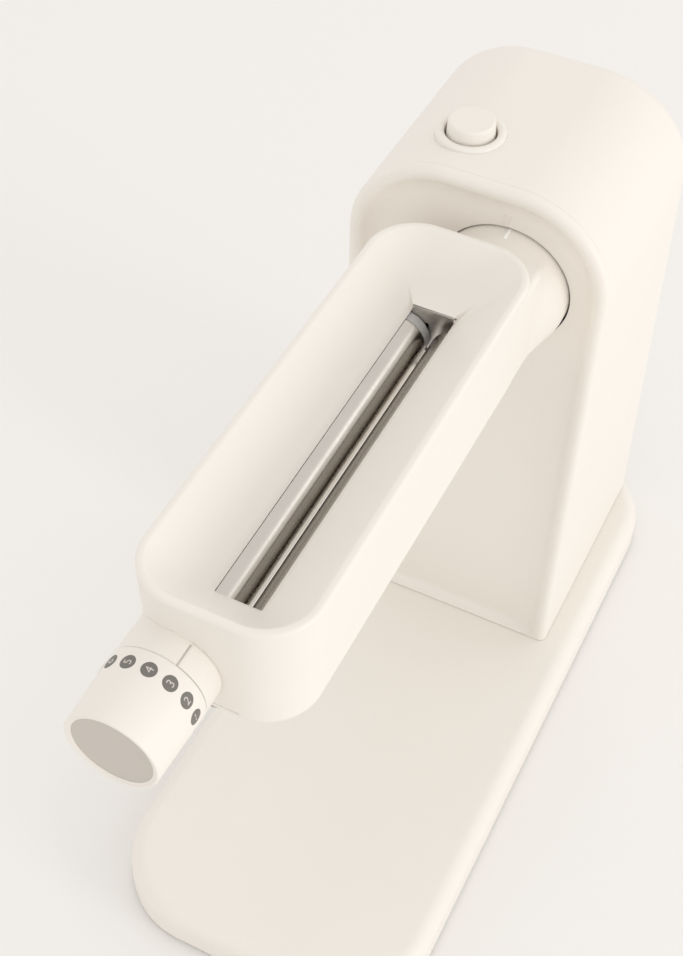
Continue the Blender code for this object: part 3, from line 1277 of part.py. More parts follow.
def make_knob(head):
    """A knob that slides on its shaft against a spring; the shaft's cam shifts the roller."""
    shaft_front = KNOB_FRONT_DEPTH + DISC_RECESS + DISC_THICKNESS + WASHER_PLAY
    washer_back = shaft_front + WASHER_THICKNESS
    stop_front = HEAD_NEAR + HEAD_WALL + GAP
    stop_back = stop_front + WASHER_THICKNESS
    cam_front = SLOT_NEAR - CAM_AHEAD
    cam_back = cam_front + CAM_LENGTH
    profile = [
        (0.0, shaft_front),
        (WASHER_RADIUS, shaft_front),
        (WASHER_RADIUS, washer_back),
        (ADJUST_SHAFT_RADIUS, washer_back),
        (ADJUST_SHAFT_RADIUS, stop_front),
        (WASHER_RADIUS, stop_front),
        (WASHER_RADIUS, stop_back),
        (ADJUST_SHAFT_RADIUS, stop_back),
        (ADJUST_SHAFT_RADIUS, cam_back),
        (0.0, cam_back),
    ]
    shaft = turned_y("adjust_shaft", profile, ADJUST_AXIS, POLISHED)
    cam_axis = (ADJUST_AXIS[0] + CAM_OFFSET, ADJUST_AXIS[1])
    fuse(shaft, cylinder_y("cam", CAM_RADIUS, cam_axis, cam_front, cam_back + CAM_OFFSET))
    floor_front = KNOB_FRONT_DEPTH + KNOB_FLOOR
    floor_back = floor_front + KNOB_FLOOR_THICKNESS
    hub_back = floor_back + HUB_LENGTH
    bore = ADJUST_SHAFT_RADIUS + RUNNING_PLAY
    room = KNOB_RADIUS - KNOB_WALL
    outline = [
        (KNOB_RADIUS - KNOB_EDGE, KNOB_FRONT_DEPTH),
        (KNOB_RADIUS, KNOB_FRONT_DEPTH + KNOB_EDGE),
        (KNOB_BACK_RADIUS, KNOB_BACK_DEPTH),
        (KNOB_BACK_RADIUS - KNOB_WALL, KNOB_BACK_DEPTH),
        (room, floor_back),
        (HUB_RADIUS, floor_back),
        (HUB_RADIUS, hub_back),
        (bore, hub_back),
        (bore, floor_front),
        (room, floor_front),
        (room, KNOB_FRONT_DEPTH),
    ]
    knob = turned_y("thickness_knob", outline, ADJUST_AXIS, SATIN, ROUND_SIDES, closed=True)
    disc_front = KNOB_FRONT_DEPTH + DISC_RECESS
    disc = cylinder_y("knob_disc", room - GAP, ADJUST_AXIS, disc_front, disc_front + DISC_THICKNESS,
                      DISC_GREY, ROUND_SIDES)
    start = washer_back + KNOB_SPRING_WIRE + GAP
    end = floor_front - KNOB_SPRING_WIRE - GAP
    x, z = ADJUST_AXIS
    spring = helix_tube("knob_spring", ADJUST_SHAFT_RADIUS + KNOB_SPRING_PLAY, KNOB_SPRING_WIRE,
                        (x, y_at(start), z), (x, y_at(end), z), KNOB_SPRING_TURNS, SPRING_STEEL)
    turning = pivot("knob_shaft_pivot", (x, y_at(KNOB_BACK_DEPTH), z), head)
    carry(turning, shaft, spring)
    carry(pivot("knob_pivot", (x, y_at(KNOB_BACK_DEPTH), z), turning), knob, disc)


make_base()
make_tower_housing()
make_front_panel()
make_button_ring()
make_power_button()
make_chassis()
make_socket_cup()
wheel, pinion = make_gears()
make_output(wheel)
make_motor(pinion)
make_electrics()
make_roller_head()
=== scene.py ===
"""Looks of the electric pasta maker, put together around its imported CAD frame.

Metres, +Z up. A depth is a distance behind the tower's front plane, as a maker's drawing of the side
view gives it, so the roller head has negative depths.
"""
import math

import bmesh
import bpy
from mathutils import Matrix, Vector


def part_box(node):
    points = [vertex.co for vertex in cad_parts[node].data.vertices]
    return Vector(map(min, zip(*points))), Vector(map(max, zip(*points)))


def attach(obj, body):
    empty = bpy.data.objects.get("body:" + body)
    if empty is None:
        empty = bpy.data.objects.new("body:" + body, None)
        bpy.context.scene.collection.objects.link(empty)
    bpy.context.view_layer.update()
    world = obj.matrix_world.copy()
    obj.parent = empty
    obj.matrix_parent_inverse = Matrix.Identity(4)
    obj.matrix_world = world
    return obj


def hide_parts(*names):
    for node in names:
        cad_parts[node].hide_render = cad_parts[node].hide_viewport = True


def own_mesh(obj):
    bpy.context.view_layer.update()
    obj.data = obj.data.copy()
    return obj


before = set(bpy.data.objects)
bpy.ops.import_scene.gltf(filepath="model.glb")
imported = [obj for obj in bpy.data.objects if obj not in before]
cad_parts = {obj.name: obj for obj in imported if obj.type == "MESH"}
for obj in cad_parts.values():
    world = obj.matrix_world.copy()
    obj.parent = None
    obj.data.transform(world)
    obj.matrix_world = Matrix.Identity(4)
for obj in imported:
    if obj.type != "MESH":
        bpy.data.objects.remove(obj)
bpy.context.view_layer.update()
FACE_Y = 0.05865


# Base shell
# A flat cream slab moulded in ABS, open below, that carries the whole machine. Its plan has round
# corners and its upper edge is well rounded; the surface has the fine even grain of an etched mould.

BASE_WIDTH = 0.136
BASE_NEAR = -0.14135
BASE_FAR = 0.18465
BASE_LOW = 0.0015
BASE_TOP = 0.020
BASE_CORNER = 0.038
BASE_ROUND = 0.007
BASE_WALL = 0.0025
BASE_FOOT_ROUND = 0.0006
HOLD = 0.0005
CORNER_STEPS = 16
LONG_STEPS = 24
SHORT_STEPS = 10
ROUND_STEPS = 10
CREAM = (0.885, 0.845, 0.790)
CREAM_SHADE = (0.865, 0.820, 0.760)
CREAM_ROUGHNESS = 0.42
CREAM_ROUGHNESS_SPREAD = 0.05
CLOUD_SCALE = 14.0
MARK_SCALE = 70.0
GRAIN_SCALE = 2200.0
GRAIN_STRENGTH = 0.10
GRAIN_DEPTH = 0.00003
COLOUR = "NodeSocketColor"
FLOAT = "NodeSocketFloat"


def arc(centre_a, centre_b, radius, start, stop, steps):
    """Points of an arc in a plane, between two angles in degrees."""
    angles = [math.radians(start + (stop - start) * step / steps) for step in range(steps + 1)]
    return [(centre_a + radius * math.cos(a), centre_b + radius * math.sin(a)) for a in angles]


def run(start, stop, steps):
    """Points between two points, without the two themselves."""
    shares = [step / steps for step in range(1, steps)]
    return [tuple(a + (b - a) * share for a, b in zip(start, stop)) for share in shares]


def joined(*stretches):
    return [point for stretch in stretches for point in stretch]


def rounded_plan(half, near, far, near_corner, far_corner, corner_steps, side_steps):
    """An outline with round corners and evenly divided sides, anticlockwise from the right."""
    corners = [
        arc(half - far_corner, far - far_corner, far_corner, 0.0, 90.0, corner_steps[0]),
        arc(far_corner - half, far - far_corner, far_corner, 90.0, 180.0, corner_steps[1]),
        arc(near_corner - half, near + near_corner, near_corner, 180.0, 270.0, corner_steps[2]),
        arc(half - near_corner, near + near_corner, near_corner, 270.0, 360.0, corner_steps[3]),
    ]
    stretches = []
    for number, corner in enumerate(corners):
        after = corners[(number + 1) % 4]
        stretches += [corner, run(corner[-1], after[0], side_steps[number])]
    return joined(*stretches)


def slab_plan(half, near, far, near_corner, far_corner):
    return rounded_plan(half, near, far, near_corner, far_corner, (CORNER_STEPS,) * 4,
                        (SHORT_STEPS, LONG_STEPS) * 2)


def at_height(outline, height):
    return [(x, y, height) for x, y in outline]


def rings_of(plan, places):
    """Level rings of a plan, from pairs of an inset and a height."""
    return [at_height(plan(inset), height) for inset, height in places]


def lofted(rings, closed=False):
    """A closed surface through rings of equal count, capped at both ends or closed on itself."""
    builder = bmesh.new()
    rows = [[builder.verts.new(point) for point in ring] for ring in rings]
    pairs = list(zip(rows, rows[1:]))
    if closed:
        pairs.append((rows[-1], rows[0]))
    for lower, upper in pairs:
        for here in range(len(lower)):
            after = (here + 1) % len(lower)
            builder.faces.new((lower[here], lower[after], upper[after], upper[here]))
    if not closed:
        builder.faces.new(list(reversed(rows[0])))
        builder.faces.new(rows[-1])
    return builder


def in_scene(name, data):
    """A new object in the scene."""
    added = bpy.data.objects.new(name, data)
    bpy.context.scene.collection.objects.link(added)
    return added


def worked_out(piece):
    """A plain mesh of what the object comes to with its modifiers."""
    bpy.context.view_layer.update()
    return bpy.data.meshes.new_from_object(piece.evaluated_get(bpy.context.evaluated_depsgraph_get()))


def smoothed(mesh, angle):
    """Smooth shading that keeps edges sharper than an angle."""
    mesh.shade_smooth()
    mesh.set_sharp_from_angle(angle=math.radians(angle))


def mesh_from(name, builder):
    """A mesh from a builder, with its faces outwards."""
    mesh = bpy.data.meshes.new(name)
    bmesh.ops.recalc_face_normals(builder, faces=builder.faces)
    builder.to_mesh(mesh)
    builder.free()
    return mesh


def piece_from(name, builder, material, smooth_angle=32.0):
    """A shown piece from a mesh builder, smooth but for its real edges."""
    mesh = mesh_from(name, builder)
    mesh.materials.append(material)
    smoothed(mesh, smooth_angle)
    return in_scene(name, mesh)


def node_group(name, sockets_in, sockets_out, kind="ShaderNodeTree"):
    """A node group, what its named inputs give and what its outputs take."""
    tree = bpy.data.node_groups.new(name, kind)
    for way, sockets in (("INPUT", sockets_in), ("OUTPUT", sockets_out)):
        for label, socket_type in sockets:
            tree.interface.new_socket(label, in_out=way, socket_type=socket_type)
    return tree, tree.nodes.new("NodeGroupInput").outputs, tree.nodes.new("NodeGroupOutput").inputs


def node(tree, kind, inputs, **settings):
    """A new node; each of its inputs is set to a value or fed by an output."""
    added = tree.nodes.new(kind)
    for label, value in settings.items():
        setattr(added, label, value)
    for label, value in inputs.items():
        if isinstance(value, bpy.types.NodeSocket):
            tree.links.new(value, added.inputs[label])
        else:
            added.inputs[label].default_value = value
    return added


def maths(tree, operation, *values):
    return node(tree, "ShaderNodeMath", dict(enumerate(values)), operation=operation).outputs[0]


def noise(tree, coordinates, scale, detail):
    inputs = {"Vector": coordinates, "Scale": scale, "Detail": detail}
    return node(tree, "ShaderNodeTexNoise", inputs).outputs["Fac"]


def surface_group(name, own_inputs, texture):
    """Colour, roughness and height of a surface, from two shades, its gloss and its own texture."""
    tree, start, end = node_group(
        name,
        [("Colour", COLOUR), ("Shade", COLOUR), ("Roughness", FLOAT), ("Roughness spread", FLOAT),
         ("Cloud scale", FLOAT)] + own_inputs,
        [("Colour", COLOUR), ("Roughness", FLOAT), ("Height", FLOAT)])
    place = tree.nodes.new("ShaderNodeTexCoord").outputs["Object"]
    shading, gloss, height = texture(tree, place, start)
    mix = node(tree, "ShaderNodeMix", {"Factor": shading, 6: start["Colour"], 7: start["Shade"]},
               data_type="RGBA")
    centred = maths(tree, "MULTIPLY_ADD", gloss, 2.0, -1.0)
    roughness = maths(tree, "MULTIPLY_ADD", centred, start["Roughness spread"], start["Roughness"])
    tree.links.new(mix.outputs[2], end["Colour"])
    tree.links.new(roughness, end["Roughness"])
    tree.links.new(height, end["Height"])
    return tree


def moulded_texture(tree, place, start):
    """Cloudy shade, handling marks in the gloss and the fine grain of an etched mould."""
    return (noise(tree, place, start["Cloud scale"], 3.0), noise(tree, place, start["Mark scale"], 5.0),
            noise(tree, place, start["Grain scale"], 2.0))


MOULDED_SURFACE = surface_group("moulded_surface", [("Mark scale", FLOAT), ("Grain scale", FLOAT)],
                                moulded_texture)


def surfaced_material(name, group, colour, shade, values, bump_strength, bump_depth, metallic=0.0):
    """A Principled material whose colour, roughness and bump come from a surface group."""
    material = bpy.data.materials.new(name)
    material.use_nodes = True
    tree = material.node_tree
    inputs = {"Colour": (*colour, 1.0), "Shade": (*shade, 1.0), **values}
    surface = node(tree, "ShaderNodeGroup", inputs, node_tree=group)
    bump = node(tree, "ShaderNodeBump", {"Strength": bump_strength, "Distance": bump_depth,
                                         "Height": surface.outputs["Height"]})
    shader = tree.nodes["Principled BSDF"].inputs
    shader["Metallic"].default_value = metallic
    tree.links.new(surface.outputs["Colour"], shader["Base Color"])
    tree.links.new(surface.outputs["Roughness"], shader["Roughness"])
    tree.links.new(bump.outputs["Normal"], shader["Normal"])
    return material


def moulded_plastic(name, colour, shade, roughness, spread=CREAM_ROUGHNESS_SPREAD,
                    strength=GRAIN_STRENGTH):
    values = {"Roughness": roughness, "Roughness spread": spread, "Cloud scale": CLOUD_SCALE,
              "Mark scale": MARK_SCALE, "Grain scale": GRAIN_SCALE}
    return surfaced_material(name, MOULDED_SURFACE, colour, shade, values, strength, GRAIN_DEPTH)


CREAM_ABS = moulded_plastic("cream_satin_abs", CREAM, CREAM_SHADE, CREAM_ROUGHNESS)


def base_plan(inset):
    corner = BASE_CORNER - inset
    return slab_plan(BASE_WIDTH / 2 - inset, BASE_NEAR + inset, BASE_FAR - inset, corner, corner)


base_rings = rings_of(base_plan, [
    (BASE_ROUND, BASE_TOP - BASE_WALL),
    (BASE_WALL, BASE_TOP - BASE_ROUND),
    (BASE_WALL, BASE_LOW),
    (BASE_FOOT_ROUND, BASE_LOW),
    (0.0, BASE_LOW + BASE_FOOT_ROUND),
    (0.0, BASE_TOP - BASE_ROUND - HOLD),
    *arc(BASE_ROUND, BASE_TOP - BASE_ROUND, BASE_ROUND, 180.0, 90.0, ROUND_STEPS),
    (BASE_ROUND + HOLD, BASE_TOP),
])
base_shell = piece_from("base_slab", lofted(base_rings), CREAM_ABS)
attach(base_shell, "appliance")
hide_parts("base_shell")


# Base plate
# A dark polypropylene plate that closes the slab from below. It is pressed into the slab's rim and
# has the same etched grain, coarser and duller than outside.

DARK_PLASTIC = moulded_plastic("dark_polypropylene", (0.045, 0.044, 0.043), (0.060, 0.058, 0.056), 0.55,
                               strength=0.3)


def finish_cad(material, *names):
    """Gives carried-over CAD nodes a material."""
    for name in names:
        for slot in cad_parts[name].material_slots:
            slot.material = material


finish_cad(DARK_PLASTIC, "base_plate")


# Feet
# Four rubber pads with rounded rims, stuck into the plate's recesses so that the machine doesn't
# slide on a worktop. They repeat, so one tree makes them all.

FOOT_RADIUS = 0.008
FOOT_HEIGHT = 0.0019
FOOT_EDGE = 0.0006
FOOT_SPACING_X = 0.092
FOOT_SPACING_Y = 0.282
FOOT_MIDDLE_Y = 0.02165
FOOT_SIDES = 64
FOOT_STEPS = 16
VECTOR = "NodeSocketVector"
MATERIAL = "NodeSocketMaterial"
GEOMETRY = "NodeSocketGeometry"
RUBBER = moulded_plastic("soft_black_rubber", (0.030, 0.030, 0.030), (0.045, 0.044, 0.043), 0.80,
                         strength=0.5)


def vector_of(tree, x, y, z):
    return node(tree, "ShaderNodeCombineXYZ", {0: x, 1: y, 2: z}).outputs[0]


def point_parts(tree):
    """x, y and z of every point."""
    points = tree.nodes.new("GeometryNodeInputPosition").outputs[0]
    return node(tree, "ShaderNodeSeparateXYZ", {0: points}).outputs


def placed(tree, geometry, position):
    """Moves every point of a geometry to a computed position."""
    inputs = {"Geometry": geometry, "Position": position}
    return node(tree, "GeometryNodeSetPosition", inputs).outputs["Geometry"]


def shifted(tree, geometry, offset):
    inputs = {"Geometry": geometry, "Translation": offset}
    return node(tree, "GeometryNodeTransform", inputs).outputs["Geometry"]


def repeated(tree, points, instance):
    inputs = {"Points": points, "Instance": instance}
    return node(tree, "GeometryNodeInstanceOnPoints", inputs).outputs["Instances"]


def realized(tree, geometry, material, end):
    """Ends a tree with real geometry in one material."""
    real = node(tree, "GeometryNodeRealizeInstances", {0: geometry}).outputs[0]
    painted = node(tree, "GeometryNodeSetMaterial", {"Geometry": real, "Material": material})
    tree.links.new(painted.outputs["Geometry"], end[0])


def grown(name, tree, values, smooth_angle=35.0):
    """A plain mesh piece from a tree, with the tree's inputs set by name."""
    piece = in_scene(name, bpy.data.meshes.new(name + "_seed"))
    growth = piece.modifiers.new("growth", "NODES")
    growth.node_group = tree
    for item in tree.interface.items_tree:
        if item.in_out == "INPUT" and item.name in values:
            growth[item.identifier] = values[item.name]
    mesh = worked_out(piece)
    piece.modifiers.remove(growth)
    piece.data = mesh
    smoothed(mesh, smooth_angle)
    return piece


def disc_with_round_rims(tree, radius, height, edge, sides, across):
    """A round pad standing on its origin, whose upper and lower rims are rounded by the edge."""
    body = node(tree, "GeometryNodeMeshCylinder", {"Vertices": sides, "Side Segments": across,
                                                   "Radius": radius, "Depth": height}, fill_type="NGON")
    x, y, z = point_parts(tree)
    flat = maths(tree, "SUBTRACT", maths(tree, "DIVIDE", height, 2.0), edge)
    past = maths(tree, "SUBTRACT", maths(tree, "ABSOLUTE", z), flat)
    share = maths(tree, "DIVIDE", maths(tree, "MAXIMUM", past, 0.0), edge)
    chord = maths(tree, "SUBTRACT", 1.0, maths(tree, "MULTIPLY", share, share))
    fall = maths(tree, "SUBTRACT", 1.0, maths(tree, "SQRT", maths(tree, "MAXIMUM", chord, 0.0)))
    lost = maths(tree, "MULTIPLY", fall, maths(tree, "DIVIDE", edge, radius))
    narrow = maths(tree, "SUBTRACT", 1.0, lost)
    rounded = vector_of(tree, maths(tree, "MULTIPLY", x, narrow), maths(tree, "MULTIPLY", y, narrow),
                        maths(tree, "ADD", z, maths(tree, "DIVIDE", height, 2.0)))
    return placed(tree, body.outputs["Mesh"], rounded)


def feet_tree():
    tree, start, end = node_group(
        "rubber_feet",
        [("Radius", FLOAT), ("Height", FLOAT), ("Edge", FLOAT), ("Spacing X", FLOAT),
         ("Spacing Y", FLOAT), ("Middle", VECTOR), ("Material", MATERIAL)],
        [("Feet", GEOMETRY)], "GeometryNodeTree")
    pad = disc_with_round_rims(tree, start["Radius"], start["Height"], start["Edge"], FOOT_SIDES,
                               FOOT_STEPS)
    corners = node(tree, "GeometryNodeMeshGrid", {
        "Vertices X": 2, "Vertices Y": 2, "Size X": start["Spacing X"], "Size Y": start["Spacing Y"]})
    spots = shifted(tree, corners.outputs["Mesh"], start["Middle"])
    realized(tree, repeated(tree, spots, pad), start["Material"], end)
    return tree


feet = grown("rubber_feet", feet_tree(), {
    "Radius": FOOT_RADIUS, "Height": FOOT_HEIGHT, "Edge": FOOT_EDGE, "Spacing X": FOOT_SPACING_X,
    "Spacing Y": FOOT_SPACING_Y, "Middle": (0.0, FOOT_MIDDLE_Y, 0.0), "Material": RUBBER})
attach(feet, "appliance")
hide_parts("foot_front_left", "foot_front_right", "foot_back_left", "foot_back_right")


# Chassis
# A folded sheet steel frame inside the tower, screwed to the slab from below. A second plate on two
# pillars carries the front end of the gear axles. Rolled sheet shows a faint lengthwise grain.

STEEL = (0.56, 0.54, 0.51)
STEEL_SHADE = (0.47, 0.45, 0.42)
FINE_LINES = 5200.0
LONG_LINES = 220.0


def drawn_texture(tree, place, start):
    """Rolled, ground or turned metal: a grain stretched along one direction."""
    stretched = node(tree, "ShaderNodeVectorMath", {0: place, 1: start["Grain"]}, operation="MULTIPLY")
    lines = noise(tree, stretched.outputs[0], 1.0, 3.0)
    cloud = noise(tree, place, start["Cloud scale"], 3.0)
    blend = maths(tree, "ADD", maths(tree, "MULTIPLY", lines, 0.6), maths(tree, "MULTIPLY", cloud, 0.4))
    return blend, blend, lines


DRAWN_METAL = surface_group("drawn_metal", [("Grain", VECTOR)], drawn_texture)


def drawn_metal(name, colour, shade, roughness, grain, spread=0.08, strength=0.12, depth=0.00002):
    values = {"Roughness": roughness, "Roughness spread": spread, "Cloud scale": MARK_SCALE,
              "Grain": grain}
    return surfaced_material(name, DRAWN_METAL, colour, shade, values, strength, depth, metallic=1.0)


ACROSS_X = (FINE_LINES, LONG_LINES, LONG_LINES)
SHEET_STEEL = drawn_metal("rolled_sheet_steel", STEEL, STEEL_SHADE, 0.38, ACROSS_X)
finish_cad(SHEET_STEEL, "chassis", "chassis_screw_1", "chassis_screw_2", "gearbox_plate",
           "gearbox_pillar_1", "gearbox_pillar_2")


# Motor
# A small can motor behind the chassis, with a dark end cap and a lead to the circuit board. The can
# is deep-drawn steel, the shaft and rotor are turned, and the pinion is sintered bronze.

TURNED_STEEL = drawn_metal("turned_steel", STEEL, STEEL_SHADE, 0.26,
                           (LONG_LINES, FINE_LINES, LONG_LINES))
BRONZE = drawn_metal("sintered_bronze", (0.52, 0.36, 0.18), (0.42, 0.28, 0.14), 0.45,
                     (GRAIN_SCALE, GRAIN_SCALE, GRAIN_SCALE))
finish_cad(SHEET_STEEL, "motor_can")
finish_cad(DARK_PLASTIC, "motor_end_cap", "motor_lead", "switch_lead")
finish_cad(TURNED_STEEL, "motor_rotor")
finish_cad(BRONZE, "motor_pinion")


# Gear train
# Two double wheels and the output wheel in milky nylon, greased, on turned steel axles. The output
# shaft runs in two bronze bushes.

NYLON = moulded_plastic("milky_nylon", (0.74, 0.72, 0.66), (0.66, 0.63, 0.56), 0.38)
finish_cad(NYLON, "first_gear", "second_gear", "output_gear")
finish_cad(TURNED_STEEL, "first_gear_axle", "second_gear_axle", "output_shaft")
finish_cad(BRONZE, "output_bearing_front", "output_bearing_back")


# Circuit board
# A green glass-fibre board on four pegs of the chassis, with one large capacitor. Its lacquer has
# the faint cloudy shade and fine grain of the moulded surfaces.

BOARD = moulded_plastic("lacquered_board", (0.030, 0.130, 0.060), (0.045, 0.165, 0.080), 0.35)
finish_cad(BOARD, "circuit_board")


# Tower housing
# The cream cover of motor and gears: a moulded hood, round over the top, whose back leans forward
# and is rounded at its edge. It is open below and in front, where the front panel closes it.

TOWER_HALF = 0.054
TOWER_FOOT = 0.0203
TOWER_TOP = 0.2703
TOWER_CORNER = 0.040
TOWER_TOP_DEPTH = 0.096
TOWER_FOOT_DEPTH = 0.118
TOWER_WALL = 0.0025
TOWER_BACK_ROUND = 0.008
SEAM_DEPTH = 0.0038
PANEL_SEAM = 0.00006
SEAM_CHAMFER = 0.00012
CUT = 0.004
SLIVER = 0.000002
HOOD_STEPS = 20
HOOD_SIDE_STEPS = 16
HOOD_FOOT_STEPS = 8
HOOD_FEW_STEPS = 6
FOOT_SHARP = 0.0002
RING_HOLE_RADIUS = 0.01375
BUTTON_X = -0.016
BUTTON_Y = FACE_Y + 0.027
RING_FOOT = 0.2628
INLET_HALF = 0.012
INLET_LOW = 0.0443
INLET_HIGH = 0.0603
INLET_GAP = 0.0003


def hood_outline(inset, foot_rise=0.0, foot_corner=FOOT_SHARP):
    """The tower's front view as a closed outline, anticlockwise from the right foot."""
    corner_steps = (HOOD_STEPS, HOOD_STEPS, HOOD_FEW_STEPS, HOOD_FEW_STEPS)
    side_steps = (HOOD_FEW_STEPS, HOOD_SIDE_STEPS, HOOD_FOOT_STEPS, HOOD_SIDE_STEPS)
    return rounded_plan(TOWER_HALF - inset, TOWER_FOOT + foot_rise, TOWER_TOP - inset, foot_corner,
                        TOWER_CORNER - inset, corner_steps, side_steps)


def at_depth(outline, depth):
    return [(x, FACE_Y + depth, z) for x, z in outline]


def front_rings(places):
    """Rings of the tower's outline, from pairs of an inset and a depth."""
    return [at_depth(hood_outline(inset), depth) for inset, depth in places]


def at_leaning_back(outline, short):
    """The outline on the tower's leaning back, brought forward by a little."""
    height = TOWER_TOP - TOWER_FOOT
    lean = TOWER_TOP_DEPTH - TOWER_FOOT_DEPTH
    return [(x, FACE_Y + TOWER_FOOT_DEPTH + lean * (z - TOWER_FOOT) / height - short, z)
            for x, z in outline]


def tool_from(name, builder):
    """A cutting or joining body, deleted once used."""
    return in_scene(name, mesh_from(name, builder))


def worked(piece, steps, smooth_angle=32.0):
    """Cuts or joins bodies in turn, then settles the result as a plain mesh with level faces."""
    for operation, tool in steps:
        change = piece.modifiers.new(tool.name, "BOOLEAN")
        change.operation = operation
        change.solver = "MANIFOLD"
        change.object = tool
    mesh = worked_out(piece)
    piece.modifiers.clear()
    piece.data = mesh
    for _, tool in steps:
        bpy.data.objects.remove(tool, do_unlink=True)
    builder = bmesh.new()
    builder.from_mesh(mesh)
    bmesh.ops.remove_doubles(builder, verts=builder.verts, dist=SLIVER)
    bmesh.ops.dissolve_degenerate(builder, dist=SLIVER, edges=builder.edges)
    builder.to_mesh(mesh)
    builder.free()
    smoothed(mesh, smooth_angle)
    level = piece.modifiers.new("level_faces", "WEIGHTED_NORMAL")
    level.keep_sharp = True
    mesh = worked_out(piece)
    piece.modifiers.clear()
    piece.data = mesh
    return piece


def round_bar(name, radius, start, end, sides=128):
    """A round cutting body between two points."""
    builder = bmesh.new()
    line = Vector(end) - Vector(start)
    bmesh.ops.create_cone(builder, cap_ends=True, segments=sides, radius1=radius, radius2=radius,
                          depth=line.length)
    turn = Vector((0.0, 0.0, 1.0)).rotation_difference(line).to_matrix().to_4x4()
    bmesh.ops.transform(builder, matrix=Matrix.Translation(Vector(start) + line / 2) @ turn,
                        verts=builder.verts)
    return tool_from(name, builder)


def block(name, low, high):
    """A square cutting body between two corners."""
    builder = bmesh.new()
    bmesh.ops.create_cube(builder, size=1.0)
    size = Vector(high) - Vector(low)
    bmesh.ops.scale(builder, vec=size, verts=builder.verts)
    bmesh.ops.translate(builder, vec=Vector(low) + size / 2, verts=builder.verts)
    return tool_from(name, builder)


hood_front = SEAM_DEPTH + PANEL_SEAM
hood_rings = front_rings([(SEAM_CHAMFER, hood_front), (0.0, hood_front + SEAM_CHAMFER),
                          (0.0, hood_front + 2 * HOLD)])
hood_rings.append(at_leaning_back(hood_outline(0.0), TOWER_BACK_ROUND + HOLD))
for short, inset in arc(TOWER_BACK_ROUND, TOWER_BACK_ROUND, TOWER_BACK_ROUND, 270.0, 180.0, ROUND_STEPS):
    hood_rings.append(at_leaning_back(hood_outline(inset), short))
hood_rings.append(at_leaning_back(hood_outline(TOWER_BACK_ROUND + HOLD), 0.0))
hood_room = [at_depth(hood_outline(TOWER_WALL, -CUT), SEAM_DEPTH - CUT),
             at_leaning_back(hood_outline(TOWER_WALL, -CUT), TOWER_BACK_ROUND),
             at_leaning_back(hood_outline(TOWER_BACK_ROUND, -CUT), TOWER_WALL)]
hood = piece_from("tower_hood", lofted(hood_rings), CREAM_ABS)
hood = worked(hood, [
    ("DIFFERENCE", tool_from("hood_room", lofted(hood_room))),
    ("DIFFERENCE", round_bar("ring_seat", RING_HOLE_RADIUS, (BUTTON_X, BUTTON_Y, RING_FOOT - CUT),
                             (BUTTON_X, BUTTON_Y, TOWER_TOP + CUT))),
    ("DIFFERENCE", block("inlet_window",
                         (-INLET_HALF - INLET_GAP, FACE_Y + TOWER_FOOT_DEPTH - 5 * CUT,
                          INLET_LOW - INLET_GAP),
                         (INLET_HALF + INLET_GAP, FACE_Y + TOWER_FOOT_DEPTH + CUT,
                          INLET_HIGH + INLET_GAP))),
])
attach(hood, "appliance")
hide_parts("tower_housing")


# Front panel
# The tower's face: a rounded rim, a soft cove inside it and a level recess that takes the roller
# head. It is one cream moulding whose flange clips into the hood, with a hole for the head's collar.

RIM_ROUND = 0.0031
COVE_START = 0.0032
COVE_WIDTH = 0.011
CREST_SHARE = 0.29
RECESS_DEPTH = 0.0046
COVE_STEPS = 12
FLANGE_PLAY = 0.0001
FLANGE_WALL = 0.0020
PANEL_DEPTH = 0.0105
FOOT_LIP = 0.0004
FOOT_COVE = 0.0042
FOOT_CORNER = 0.0035
COLLAR_X = 0.0113
AXIS_Z = 0.2233
COLLAR_HOLE_RADIUS = 0.0273
HOLE_SIDES = 192
panel_rings = front_rings([
    (TOWER_WALL + FLANGE_PLAY, PANEL_DEPTH),
    (TOWER_WALL + FLANGE_PLAY, SEAM_DEPTH),
    (SEAM_CHAMFER, SEAM_DEPTH),
    (0.0, SEAM_DEPTH - SEAM_CHAMFER),
    (0.0, RIM_ROUND + HOLD / 2),
    *arc(RIM_ROUND, RIM_ROUND, RIM_ROUND, 180.0, 270.0, ROUND_STEPS),
])


def cove_points():
    """Insets and depths of the cove: a round over the crest, then a wide hollow down to the recess."""
    steepest = 2 * math.atan(RECESS_DEPTH / COVE_WIDTH)
    both = COVE_WIDTH / math.sin(steepest)
    crest_round = both * CREST_SHARE
    hollow = both - crest_round
    points = []
    for step in range(COVE_STEPS + 1):
        angle = steepest * step / COVE_STEPS
        points.append((COVE_START + crest_round * math.sin(angle), crest_round * (1 - math.cos(angle))))
    for step in range(1, COVE_STEPS + 1):
        angle = steepest * (1 - step / COVE_STEPS)
        points.append((COVE_START + COVE_WIDTH - hollow * math.sin(angle),
                       RECESS_DEPTH - hollow * (1 - math.cos(angle))))
    return points


